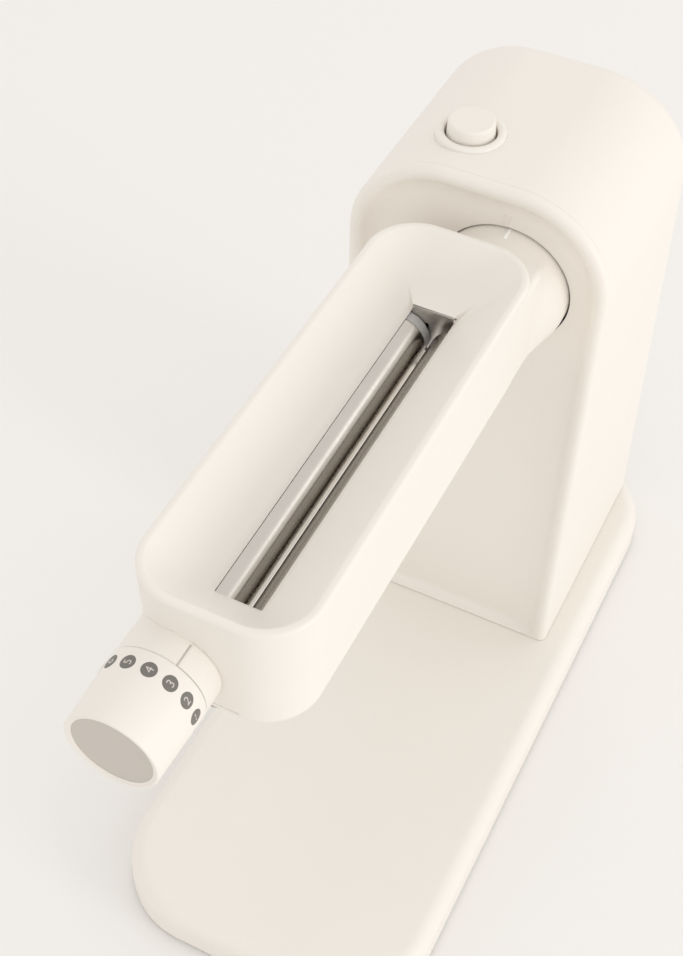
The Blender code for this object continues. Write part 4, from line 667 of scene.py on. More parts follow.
for inset, depth in cove_points():
    share = (inset - COVE_START) / COVE_WIDTH
    rise = FOOT_LIP + FOOT_COVE * (1 - math.sqrt(max(0.0, 1 - (depth / RECESS_DEPTH) ** 2)))
    panel_rings.append(at_depth(hood_outline(inset, rise, FOOT_SHARP + FOOT_CORNER * share), depth))
cove_end = hood_outline(COVE_START + COVE_WIDTH + HOLD, FOOT_LIP + FOOT_COVE + HOLD, FOOT_CORNER)
panel_rings.append(at_depth(cove_end, RECESS_DEPTH))
flange_inside = TOWER_WALL + FLANGE_WALL
panel_room = [at_depth(hood_outline(flange_inside, flange_inside), PANEL_DEPTH + CUT),
              at_depth(hood_outline(flange_inside, flange_inside), RECESS_DEPTH + TOWER_WALL)]
panel = piece_from("front_face", lofted(panel_rings), CREAM_ABS)
panel = worked(panel, [
    ("DIFFERENCE", tool_from("panel_room", lofted(panel_room))),
    ("DIFFERENCE", round_bar("collar_hole", COLLAR_HOLE_RADIUS, (COLLAR_X, FACE_Y - CUT, AXIS_Z),
                             (COLLAR_X, FACE_Y + RECESS_DEPTH + TOWER_WALL + CUT, AXIS_Z), HOLE_SIDES)),
])
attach(panel, "appliance")
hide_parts("front_panel")


# Index marks
# Two fine raised ribs over the collar hole, where the white line on the collar comes to stand. They
# are part of the front panel's mould.

MARK_LOW = 0.2508
MARK_HIGH = 0.2560
MARK_XS = (0.0090, 0.0113)
MARK_WIDTH = 0.0006
MARK_ROOT = 0.0003
MARK_LOW_PROUD = 0.0003
MARK_HIGH_PROUD = 0.0006
MARK_TAPER = 0.7


def rib_rings(x):
    """A small tapered rib on the recess and the start of the cove, from its root to its crest."""
    rings = []
    for share, proud_share in ((1.0, -1.0), (MARK_TAPER, 1.0)):
        half = MARK_WIDTH / 2 * share
        low_y = FACE_Y + RECESS_DEPTH - (MARK_LOW_PROUD if proud_share > 0 else -MARK_ROOT)
        high_y = FACE_Y + RECESS_DEPTH - (MARK_HIGH_PROUD if proud_share > 0 else -MARK_ROOT)
        low = MARK_LOW + MARK_WIDTH / 2 * (1 - share)
        high = MARK_HIGH - MARK_WIDTH / 2 * (1 - share)
        rings.append([(x + half, low_y, low), (x + half, high_y, high),
                      (x - half, high_y, high), (x - half, low_y, low)])
    return rings


def merged(*builders):
    """One builder that holds several closed bodies."""
    whole = bmesh.new()
    for builder in builders:
        part = mesh_from("part", builder)
        whole.from_mesh(part)
        bpy.data.meshes.remove(part)
    return whole


marks = piece_from("panel_index_marks", merged(*[lofted(rib_rings(x)) for x in MARK_XS]), CREAM_ABS)
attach(marks, "appliance")


# Collar socket
# A grey nylon cup behind the panel guides the head's collar. Only its mouth shows, in the gap round
# the collar, and its inside when the head is pulled out.

GREY_NYLON = moulded_plastic("grey_nylon", (0.20, 0.195, 0.185), (0.17, 0.165, 0.155), 0.45)
finish_cad(GREY_NYLON, "socket_cup")


# Power button ring
# A cream ring with a full round top stands on the tower and guards the push button. It is a separate
# moulding pressed into the hood.

RING_INNER = 0.0102
RING_OUTER = 0.0137
RING_RISE = 0.0015
TURN_SIDES = 128


def turned(profile, centre, upright=True, closed=False, sides=TURN_SIDES):
    """A turned body from radii and heights, or radii and depths where it lies along Y."""
    builder = bmesh.new()
    rows = []
    for radius, along in profile:
        if radius == 0.0:
            points = [(0.0, 0.0)]
        else:
            angles = [2 * math.pi * side / sides for side in range(sides)]
            points = [(radius * math.cos(a), radius * math.sin(a)) for a in angles]
        if upright:
            row = [builder.verts.new((centre[0] + a, centre[1] + b, along)) for a, b in points]
        else:
            row = [builder.verts.new((centre[0] + a, FACE_Y + along, centre[1] + b)) for a, b in points]
        rows.append(row)
    pairs = list(zip(rows, rows[1:]))
    if closed:
        pairs.append((rows[-1], rows[0]))
    for first, second in pairs:
        for here in range(sides):
            after = (here + 1) % sides
            corners = [first[here % len(first)], first[after % len(first)],
                       second[after % len(second)], second[here % len(second)]]
            face = list(dict.fromkeys(corners))
            if len(face) > 2:
                builder.faces.new(face)
    return builder


ring_middle = (RING_INNER + RING_OUTER) / 2
ring_half = (RING_OUTER - RING_INNER) / 2
ring_profile = [(RING_OUTER, RING_FOOT), (RING_OUTER, TOWER_TOP)]
for across, up in arc(0.0, 0.0, 1.0, 0.0, 180.0, 16):
    ring_profile.append((ring_middle + ring_half * across,
                         TOWER_TOP + HOLD / 2 + (RING_RISE - HOLD / 2) * up))
ring_profile.append((RING_INNER, RING_FOOT))
button_ring = piece_from("power_button_ring", turned(ring_profile, (BUTTON_X, BUTTON_Y), closed=True),
                         CREAM_ABS)
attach(button_ring, "appliance")
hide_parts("button_ring")


# Power button
# A hollow cream cap with a level top and a softly rounded edge, on a stem that works the switch
# below. A coil spring of round steel wire stands round the stem and lifts the cap.

BUTTON_RADIUS = 0.0096
BUTTON_TOP_RADIUS = 0.0091
BUTTON_TOP = 0.2761
BUTTON_SKIRT = 0.2658
BUTTON_ROUND = 0.0011
BUTTON_WALL = 0.0015
STEM_RADIUS = 0.003
STEM_LOW = 0.2558
BUTTON_COIL_LOW = 0.26037
BUTTON_COIL_HIGH = 0.27374
BUTTON_COIL_TURNS = 4
COIL_RADIUS = 0.0045
COIL_WIRE = 0.0005
COIL_SIDES = 8
COIL_STEPS = 24
SPRING_STEEL = drawn_metal("spring_steel_wire", STEEL, STEEL_SHADE, 0.28,
                           (LONG_LINES, LONG_LINES, FINE_LINES))
button_profile = [(0.0, BUTTON_TOP), (BUTTON_TOP_RADIUS - BUTTON_ROUND - HOLD, BUTTON_TOP)]
button_profile += arc(BUTTON_TOP_RADIUS - BUTTON_ROUND, BUTTON_TOP - BUTTON_ROUND, BUTTON_ROUND,
                      90.0, 0.0, 8)
button_profile += [
    (BUTTON_RADIUS, BUTTON_SKIRT),
    (BUTTON_RADIUS - BUTTON_WALL, BUTTON_SKIRT),
    (BUTTON_RADIUS - BUTTON_WALL, BUTTON_TOP - BUTTON_WALL),
    (STEM_RADIUS, BUTTON_TOP - BUTTON_WALL),
    (STEM_RADIUS, STEM_LOW),
    (0.0, STEM_LOW),
]
button = piece_from("push_button", turned(button_profile, (BUTTON_X, BUTTON_Y)), CREAM_ABS)
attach(button, "button")
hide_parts("power_button")
finish_cad(DARK_PLASTIC, "button_switch")


def coil_rings(length, turns):
    """Rings of round wire along a spring that climbs from the origin."""
    rings = []
    for step in range(COIL_STEPS * turns + 1):
        angle = 2 * math.pi * step / COIL_STEPS
        outward = Vector((math.cos(angle), math.sin(angle), 0.0))
        middle = outward * COIL_RADIUS + Vector((0.0, 0.0, length * step / COIL_STEPS / turns))
        ring = []
        for side in range(COIL_SIDES):
            round_wire = 2 * math.pi * side / COIL_SIDES
            rise = Vector((0.0, 0.0, COIL_WIRE * math.sin(round_wire)))
            ring.append(middle + outward * COIL_WIRE * math.cos(round_wire) + rise)
        rings.append(ring)
    return rings


button_coil = [[(BUTTON_X + x, BUTTON_Y + y, BUTTON_COIL_LOW + z) for x, y, z in ring]
               for ring in coil_rings(BUTTON_COIL_HIGH - BUTTON_COIL_LOW, BUTTON_COIL_TURNS)]
button_coil = piece_from("button_return_spring", lofted(button_coil), SPRING_STEEL, smooth_angle=60.0)
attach(button_coil, "appliance")
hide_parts("button_spring")
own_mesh(button_coil)


# Power inlet
# A black two-pin appliance socket at the foot of the tower's back, snapped into the hood's window.
# Its shell has a deep rounded well in which two turned steel pins stand.

INLET_CORNER = 0.0035
INLET_CORNER_STEPS = 8
INLET_WALL = 0.0020
INLET_LENGTH = 0.016
INLET_EDGE = 0.0006
PIN_RADIUS = 0.0012
PIN_SPACING = 0.0096
PIN_SIDES = 32
inlet_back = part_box("power_inlet")[1].y


def inlet_ring(shrink, corner, back):
    outline = rounded_plan(INLET_HALF - shrink, INLET_LOW + shrink, INLET_HIGH - shrink, corner, corner,
                           (INLET_CORNER_STEPS,) * 4, (1,) * 4)
    return [(x, inlet_back - back, z) for x, z in outline]


INLET_BLACK = moulded_plastic("inlet_black_polyamide", (0.022, 0.022, 0.023), (0.032, 0.031, 0.031),
                              0.42, strength=0.25)
inlet = piece_from("inlet_shell", lofted([
    inlet_ring(0.0, INLET_CORNER / 4, INLET_LENGTH),
    inlet_ring(0.0, INLET_CORNER / 4, INLET_EDGE),
    inlet_ring(INLET_EDGE, INLET_CORNER / 4, 0.0),
    inlet_ring(INLET_WALL - INLET_EDGE / 2, INLET_CORNER, 0.0),
    inlet_ring(INLET_WALL, INLET_CORNER, INLET_EDGE),
    inlet_ring(INLET_WALL, INLET_CORNER, 2 * INLET_LENGTH / 3),
]), INLET_BLACK)
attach(inlet, "appliance")
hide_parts("power_inlet")
pin_front = inlet_back - 2 * INLET_LENGTH / 3 - FACE_Y
pin_tip = inlet_back - 2 * INLET_WALL - FACE_Y
pin_profile = [(0.0, pin_front - INLET_WALL / 2), (PIN_RADIUS, pin_front - INLET_WALL / 2),
               (PIN_RADIUS, pin_tip - PIN_RADIUS / 2), (PIN_RADIUS / 2, pin_tip), (0.0, pin_tip)]
pins = piece_from("inlet_pins", merged(*[
    turned(pin_profile, (side * PIN_SPACING / 2, (INLET_LOW + INLET_HIGH) / 2), upright=False,
           sides=PIN_SIDES)
    for side in (-1, 1)]), TURNED_STEEL)
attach(pins, "appliance")


# Hopper housing
# The roller head's cream body in one moulding: a long tray with a broad soft rim, deep straight
# walls, a neck for the thickness knob at its near end and a round collar that plugs into the tower.
# The neck's right half is a hair thicker and ends at an index groove, by which the knob is read.

HEAD_HALF = 0.0312
HEAD_NEAR = FACE_Y - 0.207
HEAD_FAR = FACE_Y - 0.010
HEAD_CORNER = 0.020
HEAD_TAPER = 0.0012
HEAD_WALL = 0.0025
HEAD_LOW = 0.2063
HEAD_LOW_ROUND = 0.0015
RIM_Z = 0.2541
RIM_OUTER_ROUND = 0.0014
RIM_FLAT_END = 0.0021
RIM_INNER_ROUND = 0.0016
RIM_INNER_ANGLE = 40.0
SLOT_X = -0.0008
SLOT_HALF = 0.0085
SLOT_NEAR = FACE_Y - 0.184
SLOT_FAR = FACE_Y - 0.0362
SLOT_CORNER = 0.0006
SLOT_Z = 0.2350
SLOT_FAR_RISE = 0.0026
SLOT_FAR_RISE_POWER = 6
SLOT_LIP = 0.0003
UNDERSIDE_SHARES = (0.6, 0.75, 0.85, 0.915)
SLOT_LAND_THICKNESS = 0.0010
SLOT_ROLL = 0.0007
SLOT_ROLL_SHARE = 0.13
TRAY_STEPS = 18
TRAY_CURVE = 1.15
TRAY_LAST_SHARES = (0.915, 0.94, 0.96, 0.975, 0.99, 1.0)
TRAY_SHARES = (*[step / TRAY_STEPS for step in range(1, TRAY_STEPS - 1)], *TRAY_LAST_SHARES)
WALL_STEPS = 30
TRAY_SKIN = 0.0005
ROOF_DROP = 0.0075
ROOM_END = -0.019
ROOM_FAR = FACE_Y + ROOM_END
ROOM_CORNER = 0.008
COLLAR_RADIUS = 0.0266
COLLAR_BORE = 0.0243
COLLAR_EMBED = -0.0325
COLLAR_BLEND = -0.016
COLLAR_ROUND_AT = 0.002
COLLAR_END = 0.018
COLLAR_TOP = 0.2496
COLLAR_SHOULDER = 0.0025
COLLAR_STEPS = 26
COLLAR_INSIDE = 0.00002
COLLAR_CORNER_STEPS = 12
COLLAR_SIDE_STEPS = 14
NECK_X = -0.0113
NECK_RADIUS = 0.0167
NECK_BORE = 0.0147
NECK_FRONT = -0.216
NECK_ROOT = -0.195
NECK_EDGE = 0.0003
INDEX_ANGLE = 63.0
INDEX_WIDTH = 0.0005
INDEX_GROOVE = 0.0005
INDEX_END = -0.2075
LEDGE_LEFT = -0.0120
LEDGE_RIGHT = 0.0105
NOTCH_TOP = 0.2085
SHELL_STEP = 0.0003
SHELL_NEAR = -0.2159
SHELL_FAR = -0.2069
SHELL_PARTS = 60
SHELL_PART_ANGLE = 2.5
SHELL_GAP_ANGLE = 1.0
END_WALL = -0.207
SHAFT_HOLE_RADIUS = 0.0033
STOP_SEAT_RADIUS = 0.0063
STOP_SEAT_DEPTH = 0.006
DRIVE_RECESS_RADIUS = 0.013
DRIVE_RECESS_END = -0.015
COUPLING_HOLE_RADIUS = 0.0073
HOLE_SIDES_SMALL = 32
HOLE_SIDES_MIDDLE = 48
HOLE_SIDES_LARGE = 64


def head_plan(inset):
    corner = HEAD_CORNER - inset
    return slab_plan(HEAD_HALF - inset, HEAD_NEAR + inset, HEAD_FAR - inset, corner, corner)


def slot_plan(grow):
    corner = SLOT_CORNER + grow
    plan = slab_plan(SLOT_HALF + grow, SLOT_NEAR - grow, SLOT_FAR + grow, corner, corner)
    return [(x + SLOT_X, y) for x, y in plan]


def room_plan(inset):
    return slab_plan(HEAD_HALF - inset, HEAD_NEAR + inset, ROOM_FAR, HEAD_CORNER - inset, ROOM_CORNER)


def on_far_end(number):
    """Whether a point of a slab plan lies on its far end rather than on its sides or near end."""
    half_corner = CORNER_STEPS // 2
    return half_corner < number <= 2 * CORNER_STEPS + SHORT_STEPS - half_corner


def slot_ring(grow, height):
    """A ring round the slot that lies higher at the far end."""
    return [(x, y, height + (SLOT_FAR_RISE if on_far_end(number) else 0.0))
            for number, (x, y) in enumerate(slot_plan(grow))]


def tray_ring(share):
    """The tray between its lip, at share 0, and the slot's softly rolled edge, at share 1."""
    outer = head_plan(lip_inset)
    inner = slot_plan(0.0)
    drop = 1 - (1 - share) ** TRAY_CURVE
    roll = SLOT_ROLL * max(0.0, 1 - (1 - share) / SLOT_ROLL_SHARE) ** 2
    ring = []
    for number, (a, b) in enumerate(zip(outer, inner)):
        rise = SLOT_FAR_RISE * share ** SLOT_FAR_RISE_POWER if on_far_end(number) else 0.0
        height = lip_z + (SLOT_Z - lip_z) * drop + rise - roll
        ring.append((a[0] + (b[0] - a[0]) * share, a[1] + (b[1] - a[1]) * share, height))
    return ring


wall_low = HEAD_LOW + HEAD_LOW_ROUND
wall_high = RIM_Z - RIM_OUTER_ROUND
inner_round = arc(RIM_FLAT_END, RIM_Z - RIM_INNER_ROUND, RIM_INNER_ROUND, 90.0,
                  90.0 - RIM_INNER_ANGLE, 6)
lip_inset, lip_z = inner_round[-1]
head_places = [(HEAD_TAPER + inset, HEAD_LOW + rise) for inset, rise in
               arc(HEAD_LOW_ROUND, HEAD_LOW_ROUND, HEAD_LOW_ROUND, 270.0, 180.0, 6)]
for step in range(1, WALL_STEPS):
    share = step / WALL_STEPS
    head_places.append((HEAD_TAPER * (1 - share), wall_low + (wall_high - wall_low) * share))
head_places += arc(RIM_OUTER_ROUND, wall_high, RIM_OUTER_ROUND, 180.0, 90.0, 8) + inner_round
head_rings = rings_of(head_plan, head_places) + [tray_ring(share) for share in TRAY_SHARES]
head_rings.append(at_height(slot_plan(0.0), SLOT_Z - SLOT_ROLL - SLOT_LIP - HOLD))
head_room = rings_of(room_plan, [(HEAD_TAPER + HEAD_WALL, HEAD_LOW - CUT),
                                 (HEAD_WALL, RIM_Z - ROOF_DROP)])
for share in UNDERSIDE_SHARES:
    head_room.append([(x, y, z - SLOT_LAND_THICKNESS) for x, y, z in tray_ring(share)])
head_room.append(slot_ring(0.0, SLOT_Z - SLOT_ROLL - SLOT_LIP))


def collar_outline():
    """The head's own cross-section at its far end, with evenly divided sides."""
    half = HEAD_HALF - COLLAR_INSIDE
    outline = rounded_plan(half, HEAD_LOW + COLLAR_INSIDE, COLLAR_TOP, COLLAR_SHOULDER, COLLAR_SHOULDER,
                           (COLLAR_CORNER_STEPS,) * 4, (COLLAR_SIDE_STEPS,) * 4)
    return [(x * (1 - HEAD_TAPER * (RIM_Z - z) / (RIM_Z - HEAD_LOW) / half), z) for x, z in outline]


def collar_ring(depth, share):
    ring = []
    for x, z in collar_outline():
        angle = math.atan2(z - AXIS_Z, x - COLLAR_X)
        round_x = COLLAR_X + COLLAR_RADIUS * math.cos(angle)
        round_z = AXIS_Z + COLLAR_RADIUS * math.sin(angle)
        ring.append((x + (round_x - x) * share, FACE_Y + depth, z + (round_z - z) * share))
    return ring


collar_rings = [collar_ring(COLLAR_EMBED, 0.0), collar_ring(COLLAR_BLEND, 0.0)]
for step in range(1, COLLAR_STEPS + 1):
    along = step / COLLAR_STEPS
    share = along * along * (3 - 2 * along)
    collar_rings.append(collar_ring(COLLAR_BLEND + (COLLAR_ROUND_AT - COLLAR_BLEND) * along, share))
collar_rings += [collar_ring(COLLAR_ROUND_AT + HOLD, 1.0), collar_ring(COLLAR_END, 1.0)]
neck_profile = [(0.0, NECK_FRONT), (NECK_RADIUS - NECK_EDGE, NECK_FRONT),
                (NECK_RADIUS, NECK_FRONT + NECK_EDGE)]
neck_profile += run(neck_profile[-1], (NECK_RADIUS, NECK_ROOT), WALL_STEPS)
neck_profile += [(NECK_RADIUS, NECK_ROOT), (0.0, NECK_ROOT)]
turn = math.radians(INDEX_ANGLE)
groove_axis = Vector((math.cos(turn), 0.0, math.sin(turn)))
groove_side = Vector((-math.sin(turn), 0.0, math.cos(turn))) * INDEX_WIDTH / 2
neck_centre = Vector((NECK_X, FACE_Y, AXIS_Z))
groove_rings = []
for depth in (NECK_FRONT - CUT, INDEX_END):
    middle = neck_centre + Vector((0.0, depth, 0.0))
    inner = middle + groove_axis * (NECK_RADIUS - INDEX_GROOVE)
    outer = middle + groove_axis * (NECK_RADIUS + INDEX_GROOVE)
    groove_rings.append([inner - groove_side, outer - groove_side, outer + groove_side,
                         inner + groove_side])


def bar_y(name, radius, x, front, back, sides=TURN_SIDES):
    """A round cutting body on the head's axis, between two depths."""
    return round_bar(name, radius, (x, FACE_Y + front, AXIS_Z), (x, FACE_Y + back, AXIS_Z), sides)


tray_rings = rings_of(head_plan, [(lip_inset, RIM_Z + CUT), (lip_inset, lip_z - TRAY_SKIN)])
for share in TRAY_SHARES:
    tray_rings.append([(x, y, z - TRAY_SKIN) for x, y, z in tray_ring(share)])
collar = worked(tool_from("collar", lofted(collar_rings)),
                [("DIFFERENCE", tool_from("tray_hollow", lofted(tray_rings)))])
proud = NECK_RADIUS + SHELL_STEP
shell_profile = [(NECK_RADIUS - SHELL_STEP, SHELL_NEAR), (proud - SHELL_STEP / 3, SHELL_NEAR),
                 (proud, SHELL_NEAR + SHELL_STEP / 3), (proud, SHELL_FAR - SHELL_STEP / 3),
                 (proud - SHELL_STEP / 3, SHELL_FAR), (NECK_RADIUS - SHELL_STEP, SHELL_FAR)]
shell_rings = []
for step in range(SHELL_PARTS + 1):
    lean = math.radians(INDEX_ANGLE - SHELL_GAP_ANGLE - step * SHELL_PART_ANGLE)
    along_x, along_z = math.cos(lean), math.sin(lean)
    shell_rings.append([(NECK_X + across * along_x, FACE_Y + depth, AXIS_Z + across * along_z)
                        for across, depth in shell_profile])
head = piece_from("hopper", lofted(head_rings), CREAM_ABS)
head = worked(head, [
    ("UNION", collar),
    ("UNION", tool_from("neck", turned(neck_profile, (NECK_X, AXIS_Z), upright=False))),
    ("UNION", tool_from("neck_shell_half", lofted(shell_rings))),
    ("DIFFERENCE", block("cover_notch", (LEDGE_LEFT, HEAD_NEAR - CUT, HEAD_LOW - CUT),
                         (LEDGE_RIGHT, HEAD_NEAR + CUT, NOTCH_TOP))),
    ("DIFFERENCE", tool_from("under_tray", lofted(head_room))),
    ("DIFFERENCE", bar_y("neck_bore", NECK_BORE, NECK_X, NECK_FRONT - CUT, END_WALL)),
    ("DIFFERENCE", bar_y("shaft_hole", SHAFT_HOLE_RADIUS, NECK_X, END_WALL - CUT,
                         END_WALL + HEAD_WALL + CUT, HOLE_SIDES_SMALL)),
    ("DIFFERENCE", bar_y("stop_seat", STOP_SEAT_RADIUS, NECK_X, END_WALL + HEAD_WALL,
                         END_WALL + HEAD_WALL + STOP_SEAT_DEPTH, HOLE_SIDES_MIDDLE)),
    ("DIFFERENCE", bar_y("collar_bore", COLLAR_BORE, COLLAR_X, COLLAR_ROUND_AT, COLLAR_END + CUT)),
    ("DIFFERENCE", bar_y("drive_recess", DRIVE_RECESS_RADIUS, COLLAR_X, DRIVE_RECESS_END,
                         COLLAR_ROUND_AT + CUT, HOLE_SIDES_LARGE)),
    ("DIFFERENCE", bar_y("coupling_hole", COUPLING_HOLE_RADIUS, COLLAR_X, ROOM_END - CUT,
                         DRIVE_RECESS_END + CUT, HOLE_SIDES_MIDDLE)),
    ("DIFFERENCE", tool_from("index_groove", lofted(groove_rings))),
])
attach(head, "head")
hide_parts("hopper_housing")


# Collar index line
# One short raised line on top of the collar, which stands opposite the two ribs of the panel. It has a
# round back, is sunk into the collar and stands a little proud; its near-white colour is a painted
# highlight.

LINE_WIDTH = 0.0013
LINE_PROUD = 0.0005
LINE_ROOT = 0.0006
LINE_NEAR = -0.0012
LINE_FAR = 0.0047
LINE_STEPS = 12
LINE_SHAPE = ((LINE_NEAR, 0.5), (LINE_NEAR + LINE_PROUD / 2, 0.9), (LINE_NEAR + LINE_PROUD, 1.0),
              (LINE_FAR - LINE_PROUD, 1.0), (LINE_FAR, 0.7))
# A near-white copy of the cream for the collar line: a painted highlight.
PAINTED_HIGHLIGHT_WHITE = moulded_plastic("collar_line_painted_highlight", (0.97, 0.965, 0.95), (0.95, 0.945, 0.93), 0.34)
line_section = [(LINE_WIDTH / 2 * across, LINE_PROUD * up)
                for across, up in arc(0.0, 0.0, 1.0, 0.0, 180.0, LINE_STEPS)]
line_section += [(-LINE_WIDTH / 2, -LINE_ROOT), (LINE_WIDTH / 2, -LINE_ROOT)]


def line_ring(depth, share):
    """The line's section at a depth, narrowed and lowered to a share."""
    top = AXIS_Z + COLLAR_RADIUS
    return [(COLLAR_X + x * share, FACE_Y + depth, top + (z if z < 0.0 else z * share))
            for x, z in line_section]


collar_line = piece_from("collar_index_line", lofted([line_ring(*place) for place in LINE_SHAPE]),
                         PAINTED_HIGHLIGHT_WHITE, smooth_angle=50.0)
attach(collar_line, "head")


# Head bottom cover
# A thin cream plate that closes the head from below, with the long outlet for the rolled sheet. It
# sits a little inside the walls, so a fine shadow line runs round it.

COVER_TOP = 0.2082
COVER_LOW = 0.2060
COVER_PLAY = 0.0003
COVER_HALF = HEAD_HALF - HEAD_TAPER - HEAD_WALL - COVER_PLAY
COVER_NEAR = HEAD_NEAR + HEAD_TAPER + HEAD_WALL + COVER_PLAY
COVER_FAR = ROOM_FAR - COVER_PLAY
COVER_EDGE = 0.0003
COVER_NEAR_CORNER = 0.0178
COVER_FAR_CORNER = 0.002
OUTLET_HALF = 0.012
OUTLET_NEAR = FACE_Y - 0.187
OUTLET_FAR = FACE_Y - 0.037
OUTLET_CORNER = 0.0008
LEDGE_LOW = 0.2064
LEDGE_NEAR = FACE_Y - 0.2056


def cover_plan(inset):
    return slab_plan(COVER_HALF - inset, COVER_NEAR + inset, COVER_FAR - inset,
                     COVER_NEAR_CORNER - inset, COVER_FAR_CORNER)


def outlet_plan(grow):
    corner = OUTLET_CORNER + grow
    return slab_plan(OUTLET_HALF + grow, OUTLET_NEAR - grow, OUTLET_FAR + grow, corner, corner)


cover_places = [(0.0, COVER_TOP), (0.0, COVER_LOW + COVER_EDGE), (COVER_EDGE, COVER_LOW)]
cover_rings = rings_of(cover_plan, cover_places) + rings_of(outlet_plan, reversed(cover_places))
cover = piece_from("head_cover", lofted(cover_rings, closed=True), CREAM_ABS)
ledge = block("cover_ledge", (LEDGE_LEFT + COVER_PLAY, LEDGE_NEAR, LEDGE_LOW),
              (LEDGE_RIGHT - COVER_PLAY, COVER_NEAR + CUT, COVER_TOP - COVER_EDGE))
cover = worked(cover, [("UNION", ledge)])
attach(cover, "head")
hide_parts("head_bottom_cover")


# Cover screws
# Two pan-head steel screws with a cross recess hold the bottom cover. They repeat, so one tree turns
# the head, cuts the cross and sets one on each spot.

SCREW_HEAD_RADIUS = 0.0038
SCREW_HEAD_HEIGHT = 0.0022
SCREW_EDGE = 0.0012
CROSS_LENGTH = 0.0042
CROSS_WIDTH = 0.0008
CROSS_DEPTH = 0.0011
SCREW_SIDES = 48
SCREW_STEPS = 12
near_low, near_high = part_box("cover_screw_near")
far_low, far_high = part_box("cover_screw_far")


def screws_tree():
    tree, start, end = node_group(
        "pan_head_screws",
        [("Radius", FLOAT), ("Height", FLOAT), ("Edge", FLOAT), ("Cross length", FLOAT),
         ("Cross width", FLOAT), ("Cross depth", FLOAT), ("First", VECTOR), ("Last", VECTOR),
         ("Material", MATERIAL)],
        [("Screws", GEOMETRY)], "GeometryNodeTree")
    pan = disc_with_round_rims(tree, start["Radius"], start["Height"], start["Edge"], SCREW_SIDES,
                               SCREW_STEPS)
    cutter = node(tree, "GeometryNodeMeshBoolean", {"Mesh 1": pan}, operation="DIFFERENCE",
                  solver="MANIFOLD")
    for first, second in (("Cross length", "Cross width"), ("Cross width", "Cross length")):
        double = maths(tree, "MULTIPLY", start["Cross depth"], 2.0)
        size = vector_of(tree, start[first], start[second], double)
        bar = node(tree, "GeometryNodeMeshCube", {"Size": size})
        tree.links.new(bar.outputs["Mesh"], cutter.inputs["Mesh 2"])
    spots = node(tree, "GeometryNodeMeshLine", {"Count": 2, "Start Location": start["First"],
                                                "Offset": start["Last"]}, mode="END_POINTS")
    realized(tree, repeated(tree, spots.outputs["Mesh"], cutter.outputs["Mesh"]), start["Material"], end)
    return tree


screws = grown("cover_screws", screws_tree(), {
    "Radius": SCREW_HEAD_RADIUS, "Height": SCREW_HEAD_HEIGHT, "Edge": SCREW_EDGE,
    "Cross length": CROSS_LENGTH, "Cross width": CROSS_WIDTH, "Cross depth": CROSS_DEPTH,
    "First": ((near_low.x + near_high.x) / 2, (near_low.y + near_high.y) / 2, near_low.z),
    "Last": ((far_low.x + far_high.x) / 2, (far_low.y + far_high.y) / 2, far_low.z),
    "Material": SHEET_STEEL})
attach(screws, "head")
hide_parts("cover_screw_near", "cover_screw_far")


# Side plates and what they hold
# Two pressed steel plates close the roller room at its ends. Bronze bushes carry the drive roller,
# sliding blocks the adjusting roller; tie rods and two spring-steel scrapers run between the plates.

PLATE_SHOULDER = 0.2338
PLATE_PLAY = 0.0002
PLATE_CUT_REACH = 4
PLATE_WELD = HOLD / 50
# The plate steel is a lighter copy of the sheet steel: painted light for the far plate, which lies in
# the head's shade.
PAINTED_LIGHT_PLATE_STEEL = drawn_metal("pressed_plate_steel_painted_light", (0.66, 0.635, 0.60), (0.58, 0.555, 0.52), 0.30,
                          ACROSS_X)
finish_cad(PAINTED_LIGHT_PLATE_STEEL, "side_plate_near")
finish_cad(SHEET_STEEL, "scraper_left", "scraper_right")
plate_mesh = bmesh.new()
plate_mesh.from_mesh(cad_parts["side_plate_far"].data)
bmesh.ops.remove_doubles(plate_mesh, verts=plate_mesh.verts, dist=PLATE_WELD)
corner_cuts = []
for side in (PLATE_PLAY - SLOT_HALF, SLOT_HALF - PLATE_PLAY):
    left, right = sorted((side, PLATE_CUT_REACH * side))
    corner_cuts.append(("DIFFERENCE", block("plate_corner", (left + SLOT_X, HEAD_NEAR, PLATE_SHOULDER),
                                            (right + SLOT_X, HEAD_FAR, RIM_Z))))
far_plate = worked(piece_from("end_plate_far", plate_mesh, PAINTED_LIGHT_PLATE_STEEL), corner_cuts)
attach(far_plate, "head")
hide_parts("side_plate_far")
finish_cad(TURNED_STEEL, "tie_rod_left", "tie_rod_right", "adjust_shaft")
finish_cad(BRONZE, "drive_bush_near", "drive_bush_far", "carrier_near", "carrier_far")


# Rollers
# Two ground stainless rollers, 20.8 mm thick, whose ends have a fine chamfer. Grinding leaves very
# fine lines round the barrel, so the highlight is a soft, slightly grainy streak.

ROLLER_RADIUS = 0.0104
ROLLER_PITCH = 0.0113
ROLLER_CHAMFER = 0.0003
BARREL_NEAR = -0.1865
BARREL_FAR = -0.0403
JOURNAL_RADIUS = 0.004
JOURNAL_LENGTH = 0.0037
ADJUST_BARREL_FAR = -0.0415
FINE_SIDES = 160
GROUND_LINES = (300.0, 2600.0, 300.0)
GROUND_STEEL = drawn_metal("ground_stainless", (0.70, 0.67, 0.63), (0.60, 0.57, 0.53), 0.22,
                           GROUND_LINES, spread=0.10, strength=0.20)
# A darker copy of the ground stainless for the drive roller: painted shade for the shade it lies in
# under the tray.
PAINTED_SHADE_STEEL = drawn_metal("ground_stainless_painted_shade", (0.42, 0.39, 0.355), (0.35, 0.325, 0.29), 0.26,
                           GROUND_LINES, spread=0.10, strength=0.20)


